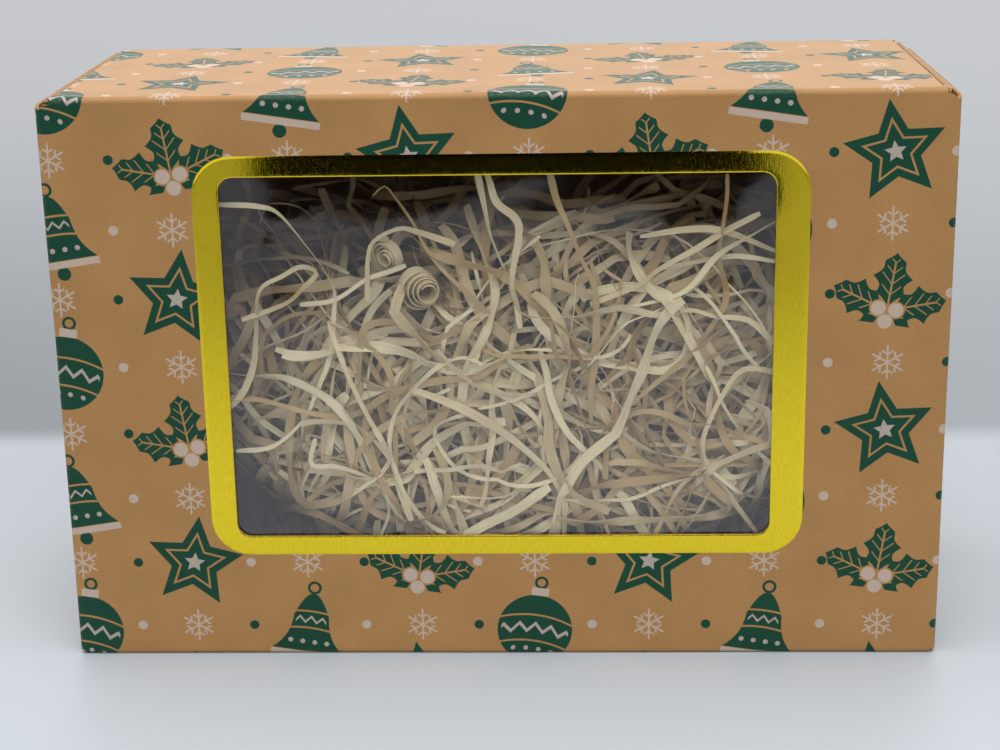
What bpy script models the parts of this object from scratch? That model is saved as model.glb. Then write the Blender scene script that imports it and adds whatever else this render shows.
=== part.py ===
"""A printed kraft gift box for Christmas Eve: a folded tray with a hinged window lid.

The closed box stands on the lid's front flange with the window facing -Y, as it is shown
in a shop. The lid opens about the fold along the top front edge. Metres, +Z up, origin in
the middle of the footprint.
"""

from math import cos, hypot, pi, radians, sin, tau

import bmesh
import bpy
from mathutils import Vector

# Closed box
box_width = 0.380
box_height = 0.250
box_depth = 0.145

# Board, folds and the clearances between pieces
board = 0.0015
fold_radius = 0.002
hinge_radius = 0.0025
joint_gap = 0.0003
tray_clearance = 0.0005
rim_gap = 0.0008
fold_steps = 6
corner_steps = 6

# Lid
window_side_border = 0.074
window_top_border = 0.034
window_bottom_border = 0.056
window_radius = 0.006
foil_side_band = 0.013
foil_end_band = 0.009
foil_shift_x = 0.0015
foil_shift_z = 0.0003
foil_radius = 0.017
foil_recess = 0.00025
foil_thickness = 0.00015
foil_edge_gap = 0.0002
shoulder = 0.002
panel_corner = 0.0005
flange_setback = 0.002
flange_corner = 0.010
flange_foot_gap = 0.0003
ear_length = 0.0027
notch = 0.0022
glue_tab_length = 0.045
glue_tab_setback = 0.0095
glue_tab_taper_share = 0.78

# Film behind the window
film_overlap = 0.010
film_thickness = 0.0002
film_radius = 0.008
adhesive_thickness = 0.0001
adhesive_inset = 0.0015
adhesive_width = 0.006
film_gap = 0.0001

# Tray
side_wall_inset = 0.0008
rim_leg = 0.0005
corner_tab_length = 0.060
corner_tab_setback = 0.0053
corner_tab_taper_share = 0.85
lock_tab_width = 0.040
lock_tab_spacing = 0.130
slot_clearance = 0.0003
cut_overrun = 0.002

# Wood wool
wool_gap = 0.0003
wool_face_room = 0.0038
wool_headroom = 0.060
wool_back_drop = 0.050
wool_face_lump = 0.004
wool_crest_lump = 0.007
wool_lump_pitch = 0.150
wool_crown_x = 0.020
wool_crown_z = 0.108
wool_crown_half_width = 0.128
wool_crown_half_height = 0.074
wool_side_fall = 0.032
wool_side_fall_shares = (0.45, 2.1)
wool_foot_fall = 0.016
wool_foot_fall_reach = (0.015, 0.060)
wool_roll_rest_reach = (0.016, 0.034)
wool_corner_share = 0.035
wool_cells = (16, 7, 9)
roll_strip_thickness = 0.0005
roll_core_radius = 0.0012
roll_pitch = 0.0014
roll_steps = 14
roll_turns = {"wood_wool_roll_large": 4, "wood_wool_roll_small": 3}
roll_widths = {"wood_wool_roll_large": 0.0034, "wood_wool_roll_small": 0.0026}
roll_place_shares = {"wood_wool_roll_large": (-0.129, 0.694), "wood_wool_roll_small": (-0.207, 0.781)}

# Levels and faces that several pieces share
half_width = box_width / 2
lid_face_y = -box_depth / 2
lid_inner_y = lid_face_y + board
base_face_y = box_depth / 2
base_inner_y = base_face_y - board
tray_front_y = lid_inner_y + rim_gap
tray_bottom = board + joint_gap
glue_tab_face_x = half_width - board - joint_gap
tray_half = glue_tab_face_x - board - tray_clearance
corner_tab_face_x = tray_half - board - joint_gap
lining_face_x = corner_tab_face_x - board - joint_gap
lining_inner_x = lining_face_x - board
rim_width = tray_half - lining_inner_x
rim_end_y = tray_front_y + fold_radius + rim_leg
window_width = box_width - 2 * window_side_border
window_height = box_height - window_top_border - window_bottom_border
window_low = window_bottom_border
window_centre_z = window_low + window_height / 2
hinge_inset = hinge_radius * (1 - pi / 4)
hinge_y = lid_face_y + hinge_inset
hinge_z = box_height - hinge_inset
film_front_y = lid_inner_y + 2 * film_gap + adhesive_thickness
film_back_y = film_front_y + film_thickness

# Turns that lay a piece's own X, Y and thickness along the box's directions
FLAT = (0, 0, 0)
FACING_FRONT = (radians(90), 0, 0)
ALONG_SIDE = (radians(90), 0, radians(90))


def clear_scene():
    for thing in list(bpy.data.objects):
        bpy.data.objects.remove(thing, do_unlink=True)


def finish(name, colour, roughness, metallic=0.0, alpha=1.0):
    made = bpy.data.materials.new(name)
    made.use_nodes = True
    shader = made.node_tree.nodes["Principled BSDF"]
    shader.inputs["Base Color"].default_value = (*colour, 1)
    shader.inputs["Roughness"].default_value = roughness
    shader.inputs["Metallic"].default_value = metallic
    shader.inputs["Alpha"].default_value = alpha
    return made


def add_object(name, shape, material, place=(0, 0, 0), turn=FLAT, parent=None):
    """Turns a bmesh into an object at a place in the box, carried by the parent if there is one."""
    bmesh.ops.recalc_face_normals(shape, faces=shape.faces)
    mesh = bpy.data.meshes.new(name)
    shape.to_mesh(mesh)
    shape.free()
    made = bpy.data.objects.new(name, mesh)
    mesh.materials.append(material)
    bpy.context.scene.collection.objects.link(made)
    made.rotation_euler = turn
    made.location = Vector(place)
    if parent:
        made.parent = parent
        made.location -= parent.location
    return made


def arc(centre, radius, first, last, steps):
    """Points on a circle from one angle to another, both ends included."""
    turns = [first + (last - first) * step / steps for step in range(steps + 1)]
    return [(centre[0] + radius * cos(turn), centre[1] + radius * sin(turn)) for turn in turns]


def rounded_loop(width, height, radii, centre=(0, 0)):
    """A rectangle's outline with an arc at each corner, from the lower left one, anticlockwise."""
    points = []
    for corner, radius in enumerate(radii):
        side_x = 1 if corner in (1, 2) else -1
        side_y = 1 if corner in (2, 3) else -1
        middle = (
            centre[0] + side_x * (width / 2 - radius),
            centre[1] + side_y * (height / 2 - radius),
        )
        start = pi + corner * pi / 2
        points += arc(middle, radius, start, start + pi / 2, corner_steps)
    return points


def ring_board(name, loops, material, place, turn, parent=None):
    """A closed frame skinned between loops of equal count, each a list of points at a height."""
    shape = bmesh.new()
    rows = [[shape.verts.new((x, y, height)) for x, y in points] for points, height in loops]
    for row, following in zip(rows, rows[1:] + rows[:1]):
        count = len(row)
        for i in range(count):
            after = (i + 1) % count
            shape.faces.new((row[i], row[after], following[after], following[i]))
    return add_object(name, shape, material, place, turn, parent)


def flat_board(name, outline, thickness, material, place, turn, parent=None):
    """A flat piece: an outline extruded by its thickness."""
    shape = bmesh.new()
    face = shape.faces.new([shape.verts.new((x, y, 0)) for x, y in outline])
    raised = bmesh.ops.extrude_face_region(shape, geom=[face])["geom"]
    top = [item for item in raised if isinstance(item, bmesh.types.BMVert)]
    bmesh.ops.translate(shape, verts=top, vec=(0, 0, thickness))
    return add_object(name, shape, material, place, turn, parent)


def folded_board(name, path, widths, thickness, material, place, turn, parent=None):
    """Board bent along a path of outer points, as wide as stated at each one. The wall grows
    to the left of the path."""
    shape = bmesh.new()
    first = [shape.verts.new((x, y, -width / 2)) for (x, y), width in zip(path, widths)]
    second = [shape.verts.new((x, y, width / 2)) for (x, y), width in zip(path, widths)]
    for i in range(len(path) - 1):
        shape.faces.new((first[i], second[i], second[i + 1], first[i + 1]))
    mesh = bpy.data.meshes.new(name)
    shape.to_mesh(mesh)
    shape.free()
    made = bpy.data.objects.new(name, mesh)
    mesh.materials.append(material)
    bpy.context.scene.collection.objects.link(made)
    made.rotation_euler = turn
    made.location = Vector(place)
    if parent:
        made.parent = parent
        made.location -= parent.location
    wall = made.modifiers.new("wall", "SOLIDIFY")
    wall.thickness = thickness
    wall.offset = 1
    wall.use_even_offset = True
    return made


def fold(name, radius, length, first_angle, material, place, turn, parent=None):
    """A quarter-round crease that joins two panels, around the place given."""
    path = arc((0, 0), radius, first_angle, first_angle + pi / 2, fold_steps)
    widths = [length] * len(path)
    made = folded_board(name, path, widths, board, material, place, turn, parent)
    made.data.shade_smooth()
    made.data.set_sharp_from_angle(angle=radians(40))
    return made


def eared_outline(root_half, ear_half, low, high, ears_low, ears_high):
    """A panel between two tab roots. Ears reach out past the roots at either end of the folds."""
    right = [(ear_half, low), (ear_half, low + ear_length)] if ears_low else []
    right += [(root_half, low + ear_length if ears_low else low)]
    right += [(root_half, high - ear_length if ears_high else high)]
    right += [(ear_half, high - ear_length), (ear_half, high)] if ears_high else []
    return right + [(-x, y) for x, y in reversed(right)]


def cut(target, cutter):
    """Cuts one object's shape out of another, and keeps the cutter as a hidden guide."""
    cutter.hide_render = True
    cutter.display_type = "WIRE"
    opening = target.modifiers.new("cut", "BOOLEAN")
    opening.operation = "DIFFERENCE"
    opening.object = cutter


def sheet_outer_loop():
    """The lid panel's edge, between its folds, with a rounded shoulder beside the hinge."""
    width = box_width - 2 * (fold_radius + joint_gap)
    low = fold_radius + joint_gap
    high = box_height - hinge_radius - joint_gap
    radii = (panel_corner, panel_corner, shoulder, shoulder)
    return rounded_loop(width, high - low, radii, (0, (low + high) / 2))


def window_loop(margin=0.0, radius=window_radius):
    width = window_width + 2 * margin
    height = window_height + 2 * margin
    return rounded_loop(width, height, [radius] * 4, (0, window_centre_z))


def foil_loop(gap=0.0):
    width = window_width + 2 * (foil_side_band - gap)
    height = window_height + 2 * (foil_end_band - gap)
    centre = (foil_shift_x, window_centre_z + foil_shift_z)
    return rounded_loop(width, height, [foil_radius - gap] * 4, centre)


def make_lid(kraft, foil, film, glue, hinge):
    """The window panel, its three flanges and folds, the glued corners, the film and the foil."""
    outer = sheet_outer_loop()
    floor = board - foil_recess
    ring_board(
        "lid_panel",
        [
            (outer, board),
            (foil_loop(), board),
            (foil_loop(), floor),
            (window_loop(), floor),
            (window_loop(), 0),
            (outer, 0),
        ],
        kraft,
        (0, lid_inner_y, 0),
        FACING_FRONT,
        hinge,
    )
    foil_back = lid_face_y + foil_thickness
    ring_board(
        "foil_border",
        [
            (foil_loop(foil_edge_gap), foil_thickness),
            (window_loop(), foil_thickness),
            (window_loop(), 0),
            (foil_loop(foil_edge_gap), 0),
        ],
        foil,
        (0, foil_back, 0),
        FACING_FRONT,
        hinge,
    )

    front_length = box_width - 2 * (fold_radius + joint_gap)
    fold(
        "lid_front_crease",
        fold_radius,
        front_length,
        pi,
        kraft,
        (0, lid_face_y + fold_radius, fold_radius),
        ALONG_SIDE,
        hinge,
    )
    flange_start = lid_face_y + fold_radius + joint_gap
    flange_end = base_face_y - flange_setback
    root_half = glue_tab_face_x - fold_radius - joint_gap
    flat_board(
        "lid_front_flange",
        eared_outline(root_half, front_length / 2, flange_start, flange_end, True, False),
        board,
        kraft,
        (0, 0, 0),
        FLAT,
        hinge,
    )

    side_low = fold_radius + joint_gap
    side_high = box_height - hinge_radius - joint_gap
    foot = flange_foot_gap
    outline = [(flange_start, side_low), (flange_start + notch, foot), (flange_end, foot)]
    corner = (flange_end - flange_corner, side_high - flange_corner)
    outline += arc(corner, flange_corner, 0, pi / 2, corner_steps)
    outline += [(flange_start, side_high)]
    tab_path_length = glue_tab_length - fold_radius
    for side, name in ((-1, "left"), (1, "right")):
        fold(
            f"lid_{name}_crease",
            fold_radius,
            side_high - side_low,
            pi if side < 0 else 3 * pi / 2,
            kraft,
            (
                side * (half_width - fold_radius),
                lid_face_y + fold_radius,
                (side_high + side_low) / 2,
            ),
            FLAT,
            hinge,
        )
        flat_board(
            f"lid_{name}_flange",
            outline,
            board,
            kraft,
            (-half_width if side < 0 else half_width - board, 0, 0),
            ALONG_SIDE,
            hinge,
        )
        tab_with_fold(
            f"lid_{name}_glue_tab",
            side,
            -1,
            (glue_tab_face_x, 0),
            tab_path_length,
            (flange_start + glue_tab_setback, flange_end - glue_tab_setback),
            glue_tab_taper_share,
            kraft,
            hinge,
        )

    ring_board(
        "film_adhesive",
        [
            (window_loop(adhesive_inset + adhesive_width, film_radius), adhesive_thickness),
            (window_loop(adhesive_inset), adhesive_thickness),
            (window_loop(adhesive_inset), 0),
            (window_loop(adhesive_inset + adhesive_width, film_radius), 0),
        ],
        glue,
        (0, lid_inner_y + film_gap + adhesive_thickness, 0),
        FACING_FRONT,
        hinge,
    )
    flat_board(
        "window_film",
        window_loop(film_overlap, film_radius),
        film_thickness,
        film,
        (0, film_back_y, 0),
        FACING_FRONT,
        hinge,
    )


def tab_with_fold(name, side, up, corner, length, root, taper_share, material, parent=None):
    """A corner tab and the fold it hangs by. The corner is the tab's outer face and the outer
    face of the panel it folds from, the root is where its fold starts and ends along the depth,
    and up is 1 below a top panel or -1 above a bottom one."""
    face_x, level = corner
    front, back = root
    width = back - front
    centre = (side * (face_x - fold_radius), level - up * fold_radius)
    first = pi / 2 if up > 0 else -pi / 2
    last = 0 if side > 0 else up * pi
    bend = arc(centre, fold_radius, first, last, fold_steps)
    path = bend + [(side * face_x, centre[1] - up * length)]
    widths = [width] * len(bend) + [width * taper_share]
    if side * up > 0:
        path.reverse()
        widths.reverse()
    middle = (0, (front + back) / 2, 0)
    return folded_board(name, path, widths, board, material, middle, FACING_FRONT, parent)


def make_tray(kraft):
    """Base panel, the walls around it, their folds, and the sides' rolled-over linings."""
    base_low = tray_bottom + fold_radius + joint_gap
    base_high = box_height - fold_radius - joint_gap
    base_half = tray_half - fold_radius - joint_gap
    lining_middle_x = lining_face_x - board / 2
    base = flat_board(
        "base_panel",
        rounded_loop(
            2 * base_half,
            base_high - base_low,
            [panel_corner] * 4,
            (0, (base_low + base_high) / 2),
        ),
        board,
        kraft,
        (0, base_face_y, 0),
        FACING_FRONT,
    )
    middle_z = (tray_bottom + box_height) / 2
    lock_heights = [middle_z - lock_tab_spacing / 2, middle_z + lock_tab_spacing / 2]
    slot_width = board + 2 * slot_clearance
    slot_length = lock_tab_width + 2 * slot_clearance
    for side in (-1, 1):
        for height in lock_heights:
            corner_x = slot_width / 2
            corner_z = slot_length / 2
            cutter = flat_board(
                "slot_cutter",
                [
                    (-corner_x, -corner_z),
                    (corner_x, -corner_z),
                    (corner_x, corner_z),
                    (-corner_x, corner_z),
                ],
                board + 2 * cut_overrun,
                kraft,
                (side * lining_middle_x, base_face_y + cut_overrun, height),
                FACING_FRONT,
            )
            cut(base, cutter)

    wall_back = base_face_y - fold_radius - joint_gap
    root_half = corner_tab_face_x - fold_radius - joint_gap
    hinge_half = corner_tab_face_x - joint_gap
    fold(
        "hinge_crease",
        hinge_radius,
        2 * hinge_half,
        pi / 2,
        kraft,
        (0, lid_face_y + hinge_radius, box_height - hinge_radius),
        ALONG_SIDE,
    )
    fold(
        "rear_crease",
        fold_radius,
        2 * base_half,
        0,
        kraft,
        (0, base_face_y - fold_radius, box_height - fold_radius),
        ALONG_SIDE,
    )
    fold(
        "front_crease",
        fold_radius,
        2 * base_half,
        3 * pi / 2,
        kraft,
        (0, base_face_y - fold_radius, tray_bottom + fold_radius),
        ALONG_SIDE,
    )
    rear_start = lid_face_y + hinge_radius + joint_gap
    flat_board(
        "rear_wall",
        eared_outline(root_half, base_half, rear_start, wall_back, True, True),
        board,
        kraft,
        (0, 0, box_height - board),
        FLAT,
    )
    flat_board(
        "front_wall",
        eared_outline(root_half, base_half, tray_front_y, wall_back, False, True),
        board,
        kraft,
        (0, 0, tray_bottom),
        FLAT,
    )

    wall_low = tray_bottom + side_wall_inset
    wall_high = box_height - side_wall_inset
    wall_start = rim_end_y + joint_gap
    wall_outline = [
        (wall_start, wall_low),
        (wall_back - notch, wall_low),
        (wall_back, base_low),
        (wall_back, base_high),
        (wall_back - notch, wall_high),
        (wall_start, wall_high),
    ]
    lining_low = tray_bottom + board + joint_gap
    lining_high = box_height - board - joint_gap
    lining_back = base_inner_y - joint_gap
    lining_outline = [(wall_start, lining_low), (lining_back, lining_low)]
    for height in lock_heights:
        lining_outline += [
            (lining_back, height - lock_tab_width / 2),
            (base_face_y, height - lock_tab_width / 2),
            (base_face_y, height + lock_tab_width / 2),
            (lining_back, height + lock_tab_width / 2),
        ]
    lining_outline += [(lining_back, lining_high), (wall_start, lining_high)]
    for side, name in ((-1, "left"), (1, "right")):
        fold(
            f"{name}_crease",
            fold_radius,
            base_high - base_low,
            pi / 2 if side < 0 else 0,
            kraft,
            (
                side * (tray_half - fold_radius),
                base_face_y - fold_radius,
                (base_low + base_high) / 2,
            ),
            FLAT,
        )
        flat_board(
            f"{name}_side_wall",
            wall_outline,
            board,
            kraft,
            (-tray_half if side < 0 else tray_half - board, 0, 0),
            ALONG_SIDE,
        )
        flat_board(
            f"{name}_side_lining",
            lining_outline,
            board,
            kraft,
            (-lining_face_x if side < 0 else lining_inner_x, 0, 0),
            ALONG_SIDE,
        )
        near = rim_width / 2 - fold_radius
        front = tray_front_y + fold_radius
        rim_path = [(-rim_width / 2, rim_end_y)]
        rim_path += arc((-near, front), fold_radius, pi, 3 * pi / 2, fold_steps)
        rim_path += arc((near, front), fold_radius, -pi / 2, 0, fold_steps)
        rim_path += [(rim_width / 2, rim_end_y)]
        folded_board(
            f"{name}_side_rim",
            rim_path,
            [lining_high - lining_low] * len(rim_path),
            board,
            kraft,
            (side * (tray_half - rim_width / 2), 0, (lining_low + lining_high) / 2),
            FLAT,
        )
        for up, level, wall in ((1, box_height, "rear"), (-1, tray_bottom, "front")):
            tab_with_fold(
                f"{wall}_{name}_corner_tab",
                side,
                up,
                (corner_tab_face_x, level),
                corner_tab_length - fold_radius,
                (tray_front_y + corner_tab_setback, wall_back - corner_tab_setback),
                corner_tab_taper_share,
                kraft,
            )


def wool_lump(x, y, z):
    """A smooth height from -1 to 1 that wanders over the mound."""
    first = sin(tau * (x + y / 2) / wool_lump_pitch)
    second = sin(tau * (z - x / 3) / wool_lump_pitch + 1)
    third = cos(tau * (x / 2 + y + z / 2) / wool_lump_pitch)
    return (first + second + third) / 3


def smooth_share(value, reach):
    """How far a value has come along a reach, from 0 to 1, with an easy start and end."""
    share = min(1, max(0, (value - reach[0]) / (reach[1] - reach[0])))
    return share * share * (3 - 2 * share)


def roll_place(name):
    """Where a curled-up strip lies on the mound's face, across and up."""
    share_x, share_z = roll_place_shares[name]
    return share_x * window_width, window_low + share_z * window_height


def wool_fall(x, z):
    """How far the mound's face falls back behind its crown, which touches the film. It falls to
    the sides, to the top and most at the foot's corners, and stays forward under the rolls."""
    across = (x - wool_crown_x) / wool_crown_half_width
    above = (z - wool_crown_z) / wool_crown_half_height
    fall = wool_side_fall * smooth_share(across**2 + above**2, wool_side_fall_shares)
    fall += wool_foot_fall * smooth_share(abs(x) - z, wool_foot_fall_reach)
    for name in roll_turns:
        roll_x, roll_z = roll_place(name)
        fall *= smooth_share(hypot(x - roll_x, z - roll_z), wool_roll_rest_reach)
    return fall


def make_wood_wool(wool):
    """The mound of wood wool that fills the standing box, and two curled-up strips on it."""
    half_x = lining_inner_x - wool_gap
    front = film_back_y + wool_gap + wool_face_room
    back = base_inner_y - wool_gap
    low = tray_bottom + board + wool_gap
    shape = bmesh.new()
    across, deep, tall = wool_cells
    bmesh.ops.create_cube(shape, size=2)
    for axis, cells in enumerate((across, deep, tall)):
        along = [
            edge
            for edge in shape.edges
            if abs(edge.verts[0].co[axis] - edge.verts[1].co[axis]) > 1
        ]
        bmesh.ops.subdivide_edges(shape, edges=along, cuts=cells - 1, use_grid_fill=True)
    for vert in shape.verts:
        u, v, w = vert.co
        x = half_x * u * (1 - wool_corner_share * (v**6 + w**6) / 2)
        y = front + (back - front) * (v + 1) / 2
        crest = box_height - wool_headroom - wool_back_drop * (v + 1) / 2
        crest += wool_crest_lump * wool_lump(x, y, 0) * (1 - v**2 / 2)
        crest -= wool_corner_share * (crest - low) * u**6
        z = low + (crest - low) * (w + 1) / 2
        if v < 0:
            inward = wool_face_lump * (1 + wool_lump(x, 0, z)) / 2 + wool_fall(x, z)
            y += -v * inward
            y += -v * wool_corner_share * (back - front) * (u**6 + max(w, 0) ** 6) / 2
        vert.co = (x, y, z)
    mound = add_object("wood_wool_bed", shape, wool)
    mound.data.shade_smooth()

    for name, turns in roll_turns.items():
        width = roll_widths[name]
        x, z = roll_place(name)
        steps = turns * roll_steps
        path = []
        for step in range(steps + 1):
            turn = step / roll_steps
            radius = roll_core_radius + roll_pitch * turn
            path.append((radius * cos(tau * turn), radius * sin(tau * turn)))
        place = (x, film_back_y + wool_gap + width / 2, z)
        made = folded_board(
            name, path, [width] * len(path), roll_strip_thickness, wool, place, FACING_FRONT
        )
        made.data.shade_smooth()
        print(f"{name}: least gap between turns {roll_pitch - roll_strip_thickness:.4f} m")


clear_scene()
kraft_board = finish("kraft_board", (0.42, 0.23, 0.10), 0.8)
gold_foil = finish("gold_foil", (0.83, 0.58, 0.08), 0.25, metallic=1.0)
clear_film = finish("clear_film", (0.9, 0.9, 0.92), 0.1, alpha=0.25)
clear_glue = finish("clear_glue", (0.85, 0.83, 0.78), 0.4, alpha=0.5)
wood_wool = finish("wood_wool", (0.78, 0.66, 0.46), 0.75)

lid_hinge = bpy.data.objects.new("lid_hinge_axis", None)
lid_hinge.location = (0, hinge_y, hinge_z)
bpy.context.scene.collection.objects.link(lid_hinge)

make_tray(kraft_board)
make_lid(kraft_board, gold_foil, clear_film, clear_glue, lid_hinge)
make_wood_wool(wood_wool)
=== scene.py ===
"""The Christmas Eve box as it looks: printed kraft board, gold foil, clear film and wood wool."""

from math import cos, pi, radians, sin, tau

import bmesh
import bpy
from mathutils import Matrix, Vector


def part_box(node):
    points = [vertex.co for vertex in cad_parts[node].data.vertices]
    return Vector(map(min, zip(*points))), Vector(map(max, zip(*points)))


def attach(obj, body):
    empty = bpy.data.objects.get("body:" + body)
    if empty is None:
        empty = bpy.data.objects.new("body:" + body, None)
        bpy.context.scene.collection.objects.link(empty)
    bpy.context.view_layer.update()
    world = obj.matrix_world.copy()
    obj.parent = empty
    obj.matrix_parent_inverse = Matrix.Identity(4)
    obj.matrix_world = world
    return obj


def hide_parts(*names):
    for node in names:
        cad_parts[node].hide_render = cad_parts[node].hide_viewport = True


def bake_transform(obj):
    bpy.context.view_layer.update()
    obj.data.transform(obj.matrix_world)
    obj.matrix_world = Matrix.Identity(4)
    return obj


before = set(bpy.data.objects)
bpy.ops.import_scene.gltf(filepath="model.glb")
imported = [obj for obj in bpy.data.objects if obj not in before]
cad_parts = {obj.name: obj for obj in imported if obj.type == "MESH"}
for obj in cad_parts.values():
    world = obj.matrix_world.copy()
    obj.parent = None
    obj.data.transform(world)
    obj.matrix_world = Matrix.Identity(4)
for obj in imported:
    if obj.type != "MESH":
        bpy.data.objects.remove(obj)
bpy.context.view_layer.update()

# Camera
# It stands where the photograph was taken from, in front of the window and a little above it.
# Its place and lens come from the corners of the box in the 1000 x 750 picture.
camera_place = Vector((0.0337, -0.8892, 0.3812))
camera_forward = Vector((-0.03905, 0.95492, -0.29430))
camera_up = Vector((0.00681, 0.29477, 0.95554))
camera_data = bpy.data.cameras.new("camera")
camera_data.lens = 72.28
camera_data.sensor_width = 36
camera = bpy.data.objects.new("camera", camera_data)
bpy.context.scene.collection.objects.link(camera)
camera_right = camera_forward.cross(camera_up)
camera_turn = Matrix((camera_right, camera_up, -camera_forward)).transposed().to_4x4()
camera.matrix_world = Matrix.Translation(camera_place) @ camera_turn
bpy.context.scene.camera = camera
bpy.context.scene.view_settings.view_transform = "Standard"

# Floor and studio light
# A pale table seems to sweep up into a pale grey backdrop behind the box: the backdrop is the far
# part of the flat table, drawn as painted light that glows darker low down behind the box, paler
# further back and lighter to the right. The table's own colour carries painted shade, darker
# towards the camera and behind the box. Three soft lamps light it from above, the front and the
# rear, and the foil and the film mirror a dark card behind the camera.
floor_reach = 40.0
floor_squares = 12
floor_colour = (0.475, 0.512, 0.552)
mottle_lift = 1.04
table_roughness = 0.55
# Painted shade on the table: its colour is darkened towards the camera and behind the box.
near_painted_shade, near_painted_shade_range = 0.52, (-0.85, -0.20)
rear_painted_shade, rear_painted_shade_range = 0.82, (-0.10, 0.22)
# Painted light: the backdrop glows for the camera and in reflections, darker low down behind the box,
# paler further back and lighter to the right.
backdrop_low_colour = (0.385, 0.410, 0.438)
backdrop_high_colour = (0.575, 0.590, 0.612)
backdrop_start, backdrop_end = 0.228, 2.4
backdrop_join = 0.02
widest_slant = 0.4
low_drift, high_drift = 0.42, 0.06
dark_colour = (0.004, 0.004, 0.004)
card_left, card_right = -0.240, 0.196
card_foot, card_top = 0.016, 1.116
card_y = -0.93
sky_colour, sky_strength = (0.97, 0.985, 1.0), 0.76


class Amount:
    """A number in a material or a node tree, so that a rule can be written as a sum."""

    def __init__(self, socket):
        self.socket = socket

    def math(self, operation, *others, clamp=False):
        inputs = dict(enumerate((self, *others)))
        settings = {"operation": operation, "use_clamp": clamp}
        return Amount(node(self.socket.id_data, "ShaderNodeMath", inputs, **settings).outputs[0])

    def __add__(self, other):
        return self.math("ADD", other)

    def __sub__(self, other):
        return self.math("SUBTRACT", other)

    def __rsub__(self, other):
        return self * -1 + other

    def __mul__(self, other):
        return self.math("MULTIPLY", other)

    def __truediv__(self, other):
        return self.math("DIVIDE", other)

    def __neg__(self):
        return self * -1

    def __abs__(self):
        return self.math("ABSOLUTE")

    __radd__ = __add__
    __rmul__ = __mul__


def fill(made, inputs):
    """Fills a node's inputs with numbers, colours, sockets or amounts."""
    for name, value in inputs.items():
        place, value = made.inputs[name], getattr(value, "socket", value)
        if isinstance(value, bpy.types.NodeSocket):
            made.id_data.links.new(value, place)
        elif place.type == "RGBA":
            place.default_value = (*value, 1)
        else:
            place.default_value = value
    return made


def node(tree, kind, inputs=None, **settings):
    """Adds a node with its settings and fills its inputs."""
    made = tree.nodes.new(kind)
    for name, value in settings.items():
        setattr(made, name, value)
    return fill(made, inputs or {})


def vector(tree, x, y, z):
    return node(tree, "ShaderNodeCombineXYZ", {"X": x, "Y": y, "Z": z}).outputs[0]


def vector_math(operation, first, **inputs):
    """Vector arithmetic on a socket. The other inputs are named by their places: at1 or at3."""
    places = {int(name.removeprefix("at")): value for name, value in inputs.items()}
    tree = first.id_data
    made = node(tree, "ShaderNodeVectorMath", {0: first, **places}, operation=operation)
    return made.outputs["Value" if operation == "DOT_PRODUCT" else "Vector"]


def split(place):
    """The three parts of a place, as amounts."""
    parts = node(place.id_data, "ShaderNodeSeparateXYZ", {"Vector": place})
    return [Amount(part) for part in parts.outputs]


def noise(place, scale, detail=2.0, rough=0.5):
    """Cloudy noise from 0 to 1. The scale may differ along each axis."""
    if isinstance(scale, tuple):
        place, scale = vector_math("MULTIPLY", place, at1=scale), 1.0
    inputs = {"Vector": place, "Scale": scale, "Detail": detail, "Roughness": rough}
    return Amount(node(place.id_data, "ShaderNodeTexNoise", inputs).outputs["Fac"])


def ramp(amount, low, high, to_low=0.0, to_high=1.0):
    """Carries a range of an amount over to another range, smoothly and without overshoot."""
    inputs = {"Value": amount, "From Min": low, "From Max": high, "To Min": to_low, "To Max": to_high}
    tree = amount.socket.id_data
    made = node(tree, "ShaderNodeMapRange", inputs, interpolation_type="SMOOTHSTEP")
    return Amount(made.outputs["Result"])


def tint(amount, first, second):
    """A colour between two others, each a colour or a socket."""
    inputs = {0: amount, 6: first, 7: second}
    return node(amount.socket.id_data, "ShaderNodeMix", inputs, data_type="RGBA").outputs[2]


def times(colour, factor):
    return tuple(factor * part for part in colour)


def new_finish(name):
    """A material with its tree and its main shader."""
    made = bpy.data.materials.new(name)
    made.use_nodes = True
    return made, made.node_tree, made.node_tree.nodes["Principled BSDF"]


def object_place(tree):
    return node(tree, "ShaderNodeTexCoord").outputs["Object"]


def bump(height, strength, distance):
    inputs = {"Height": height, "Strength": strength, "Distance": distance}
    return node(height.socket.id_data, "ShaderNodeBump", inputs).outputs["Normal"]


def show_both(share, first, second):
    """Ends a material in a mix of two shaders."""
    tree = first.id_data
    both = node(tree, "ShaderNodeMixShader", {0: share, 1: first.outputs[0], 2: second.outputs[0]})
    fill(tree.nodes["Material Output"], {"Surface": both.outputs[0]})


def new_piece(name, shape, finishes=(), smooth_below=None):
    """Puts a shape in the scene, at the origin. Edges stay sharp from an angle on, in degrees."""
    mesh = shape
    if isinstance(shape, bmesh.types.BMesh):
        mesh = bpy.data.meshes.new(name)
        shape.to_mesh(mesh)
        shape.free()
    for finish in finishes:
        mesh.materials.append(finish)
    if smooth_below:
        mesh.shade_smooth()
        mesh.set_sharp_from_angle(angle=radians(smooth_below))
    made = bpy.data.objects.new(name, mesh)
    bpy.context.scene.collection.objects.link(made)
    return made


finish, tree, shader = new_finish("pale_table")
place = object_place(tree)
x, depth, z = split(place)
drop = (depth - camera_place.y).math("MAXIMUM", 0.1)
slope = drop.math("POWER", -1.0) * camera_place.z
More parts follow.
